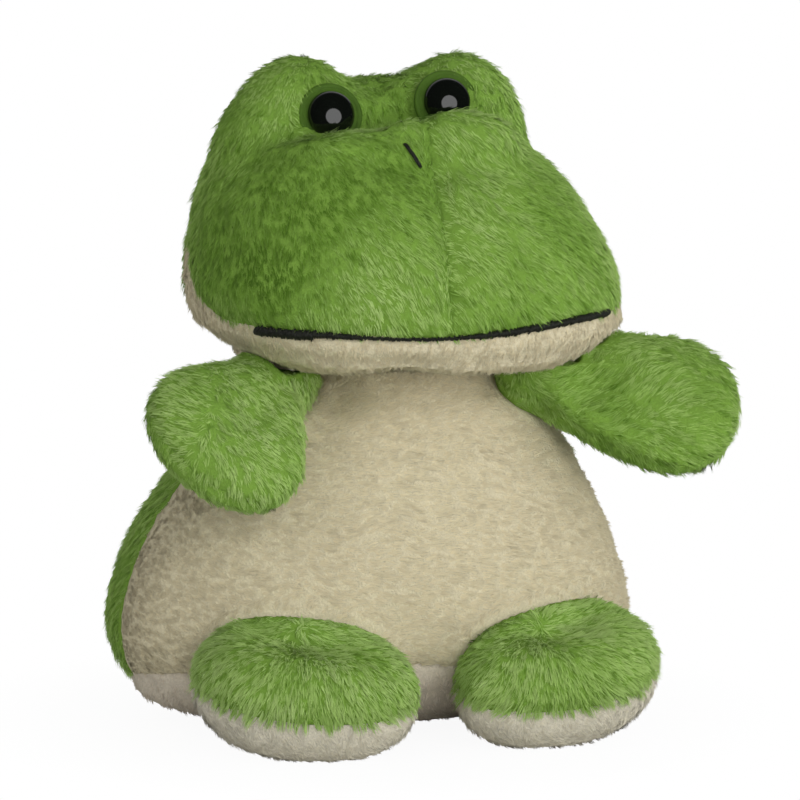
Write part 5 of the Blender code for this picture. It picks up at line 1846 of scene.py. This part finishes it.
@dataclass(frozen=True)
class Softbox:
    """A round soft lamp.

    Args:
        name: Its name.
        place: Its middle.
        radius: Its radius.
        level: Brightness of its face as a share of white.
        mirrored: Whether gloss shows it.
    """

    name: str
    place: tuple
    radius: float
    level: float
    mirrored: bool = False

    def make(self, aim: Array) -> None:
        """Put the lamp in the scene, turned towards the aim."""
        data = bpy.data.lights.new(self.name, "AREA")
        data.shape = "DISK"
        data.size = 2 * self.radius
        data.energy = self.level * math.pi * math.pi * self.radius**2
        lamp = bpy.data.objects.new(self.name, data)
        lamp.location = self.place
        lamp.rotation_euler = (Vector(aim) - Vector(self.place)).to_track_quat("-Z", "Y").to_euler()
        lamp.visible_glossy = self.mirrored
        bpy.context.scene.collection.objects.link(lamp)


@dataclass
class Studio:
    """Camera, floor, white background and lamps.

    Args:
        azimuth: The camera's bearing, in degrees.
        elevation: Its height, in degrees.
        distance: Its distance from the aim.
        view_width: Width of the picture at the aim.
        aim: The point that it looks at.
        lamps: The lamps round the toy.
    """

    azimuth: float = -14.0
    elevation: float = 8.5
    distance: float = 1.2
    view_width: float = 0.172
    aim: tuple = (0.0071, 0.0, 0.0678)
    lamps: tuple = (
        Softbox("front_softbox", (0.22, -1.25, 0.36), 0.60, 3.10, True),
        Softbox("left_softbox", (-1.10, -0.50, 0.55), 0.50, 0.85),
        Softbox("right_softbox", (1.10, -0.50, 0.50), 0.50, 1.25),
        Softbox("rear_softbox", (0.10, 1.20, 0.90), 0.50, 1.20),
    )

    def make(self) -> None:
        """Set the whole studio up."""
        aim = np.array(self.aim)
        azimuth, elevation = math.radians(self.azimuth), math.radians(self.elevation)
        away = np.array([math.sin(azimuth) * math.cos(elevation),
                         -math.cos(azimuth) * math.cos(elevation), math.sin(elevation)])
        data = bpy.data.cameras.new("camera")
        data.sensor_width = 36
        data.lens = 36 * self.distance / self.view_width
        data.clip_start = 0.01
        camera = bpy.data.objects.new("camera", data)
        camera.location = aim + away * self.distance
        camera.rotation_euler = Vector(-away).to_track_quat("-Z", "Y").to_euler()
        bpy.context.scene.collection.objects.link(camera)
        bpy.context.scene.camera = camera
        for lamp in self.lamps:
            lamp.make(aim)
        self.floor()
        self.world()
        bpy.context.scene.view_settings.view_transform = "Standard"

    @staticmethod
    def floor() -> None:
        """A wide pale floor that fades to white away from the toy and keeps its shadow."""
        sides, radii = 64, np.geomspace(0.02, 6, 40)
        angles = 2 * np.pi * np.arange(sides) / sides
        rings = [np.column_stack((r * np.cos(angles), r * np.sin(angles), np.zeros(sides))) for r in radii]
        points = np.vstack([np.zeros((1, 3))] + rings)
        s = np.arange(sides)
        faces = [np.column_stack((np.zeros(sides, int), 1 + s, 1 + (s + 1) % sides))]
        for k in range(len(radii) - 1):
            a, b = 1 + k * sides + s, 1 + k * sides + (s + 1) % sides
            faces += [np.column_stack((a, a + sides, b + sides)), np.column_stack((a, b + sides, b))]
        shader = Shader("pale_floor")
        shader.constants(Base_Color=(0.88, 0.88, 0.88, 1), Roughness=0.95, Specular_IOR_Level=0.0)
        glow = shader.node("ShaderNodeEmission", Strength=1.0)
        path = shader.node("ShaderNodeLightPath")
        place = shader.node("ShaderNodeTexCoord")
        length = shader.node("ShaderNodeVectorMath", operation="LENGTH")
        far = shader.node("ShaderNodeMapRange", From_Min=0.02, From_Max=0.09, To_Min=0.93, To_Max=1.0)
        seen = shader.node("ShaderNodeMath", operation="MULTIPLY")
        mix = shader.node("ShaderNodeMixShader")
        for source, target in (
                (place.outputs["Object"], length.inputs[0]),
                (length.outputs["Value"], far.inputs["Value"]),
                (path.outputs["Is Camera Ray"], seen.inputs[0]),
                (far.outputs["Result"], seen.inputs[1]),
                (seen.outputs["Value"], mix.inputs["Fac"]),
                (shader.principled.outputs["BSDF"], mix.inputs[1]),
                (glow.outputs["Emission"], mix.inputs[2]),
                (mix.outputs["Shader"], shader.tree.nodes["Material Output"].inputs["Surface"])):
            shader.link(source, target)
        piece = new_piece("floor", points, np.vstack(faces), shader.material)
        piece.visible_glossy = False

    @staticmethod
    def world() -> None:
        """White to the camera and in reflections of the backdrop, soft grey as a light."""
        world = bpy.data.worlds.new("studio")
        bpy.context.scene.world = world
        world.use_nodes = True
        nodes = Nodes(world.node_tree)
        background = nodes.tree.nodes["Background"]
        background.inputs["Color"].default_value = (1, 1, 1, 1)
        path = nodes.node("ShaderNodeLightPath")
        place = nodes.node("ShaderNodeTexCoord")
        parts = nodes.node("ShaderNodeSeparateXYZ")
        behind = nodes.node("ShaderNodeMapRange", From_Min=0.4, From_Max=0.9, To_Min=0.02, To_Max=1.0)
        both = nodes.node("ShaderNodeMath", operation="MAXIMUM")
        mirrored = nodes.node("ShaderNodeMath", operation="MULTIPLY")
        total = nodes.node("ShaderNodeMath", operation="MAXIMUM")
        light = nodes.node("ShaderNodeMath", operation="MAXIMUM")
        dim = nodes.node("ShaderNodeMath", operation="MULTIPLY_ADD")
        dim.inputs[1].default_value, dim.inputs[2].default_value = -0.24, 0.26
        for source, target in (
                (path.outputs["Is Glossy Ray"], dim.inputs[0]),
                (dim.outputs["Value"], light.inputs[1]),
                (place.outputs["Generated"], parts.inputs["Vector"]),
                (parts.outputs["Y"], behind.inputs["Value"]),
                (path.outputs["Is Glossy Ray"], both.inputs[0]),
                (path.outputs["Is Transmission Ray"], both.inputs[1]),
                (both.outputs["Value"], mirrored.inputs[0]),
                (behind.outputs["Result"], mirrored.inputs[1]),
                (path.outputs["Is Camera Ray"], total.inputs[0]),
                (mirrored.outputs["Value"], total.inputs[1]),
                (total.outputs["Value"], light.inputs[0]),
                (light.outputs["Value"], background.inputs["Strength"])):
            nodes.link(source, target)


def main() -> None:
    """Build the toy and its studio, and log the number of faces."""
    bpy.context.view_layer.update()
    Studio().make()
    Frog().build()
    total = sum(len(item.data.polygons) for item in bpy.data.objects
                if item.type == "MESH" and not item.hide_render)
    log.info("%d faces in all", total)


if __name__ == "__main__":
    main()
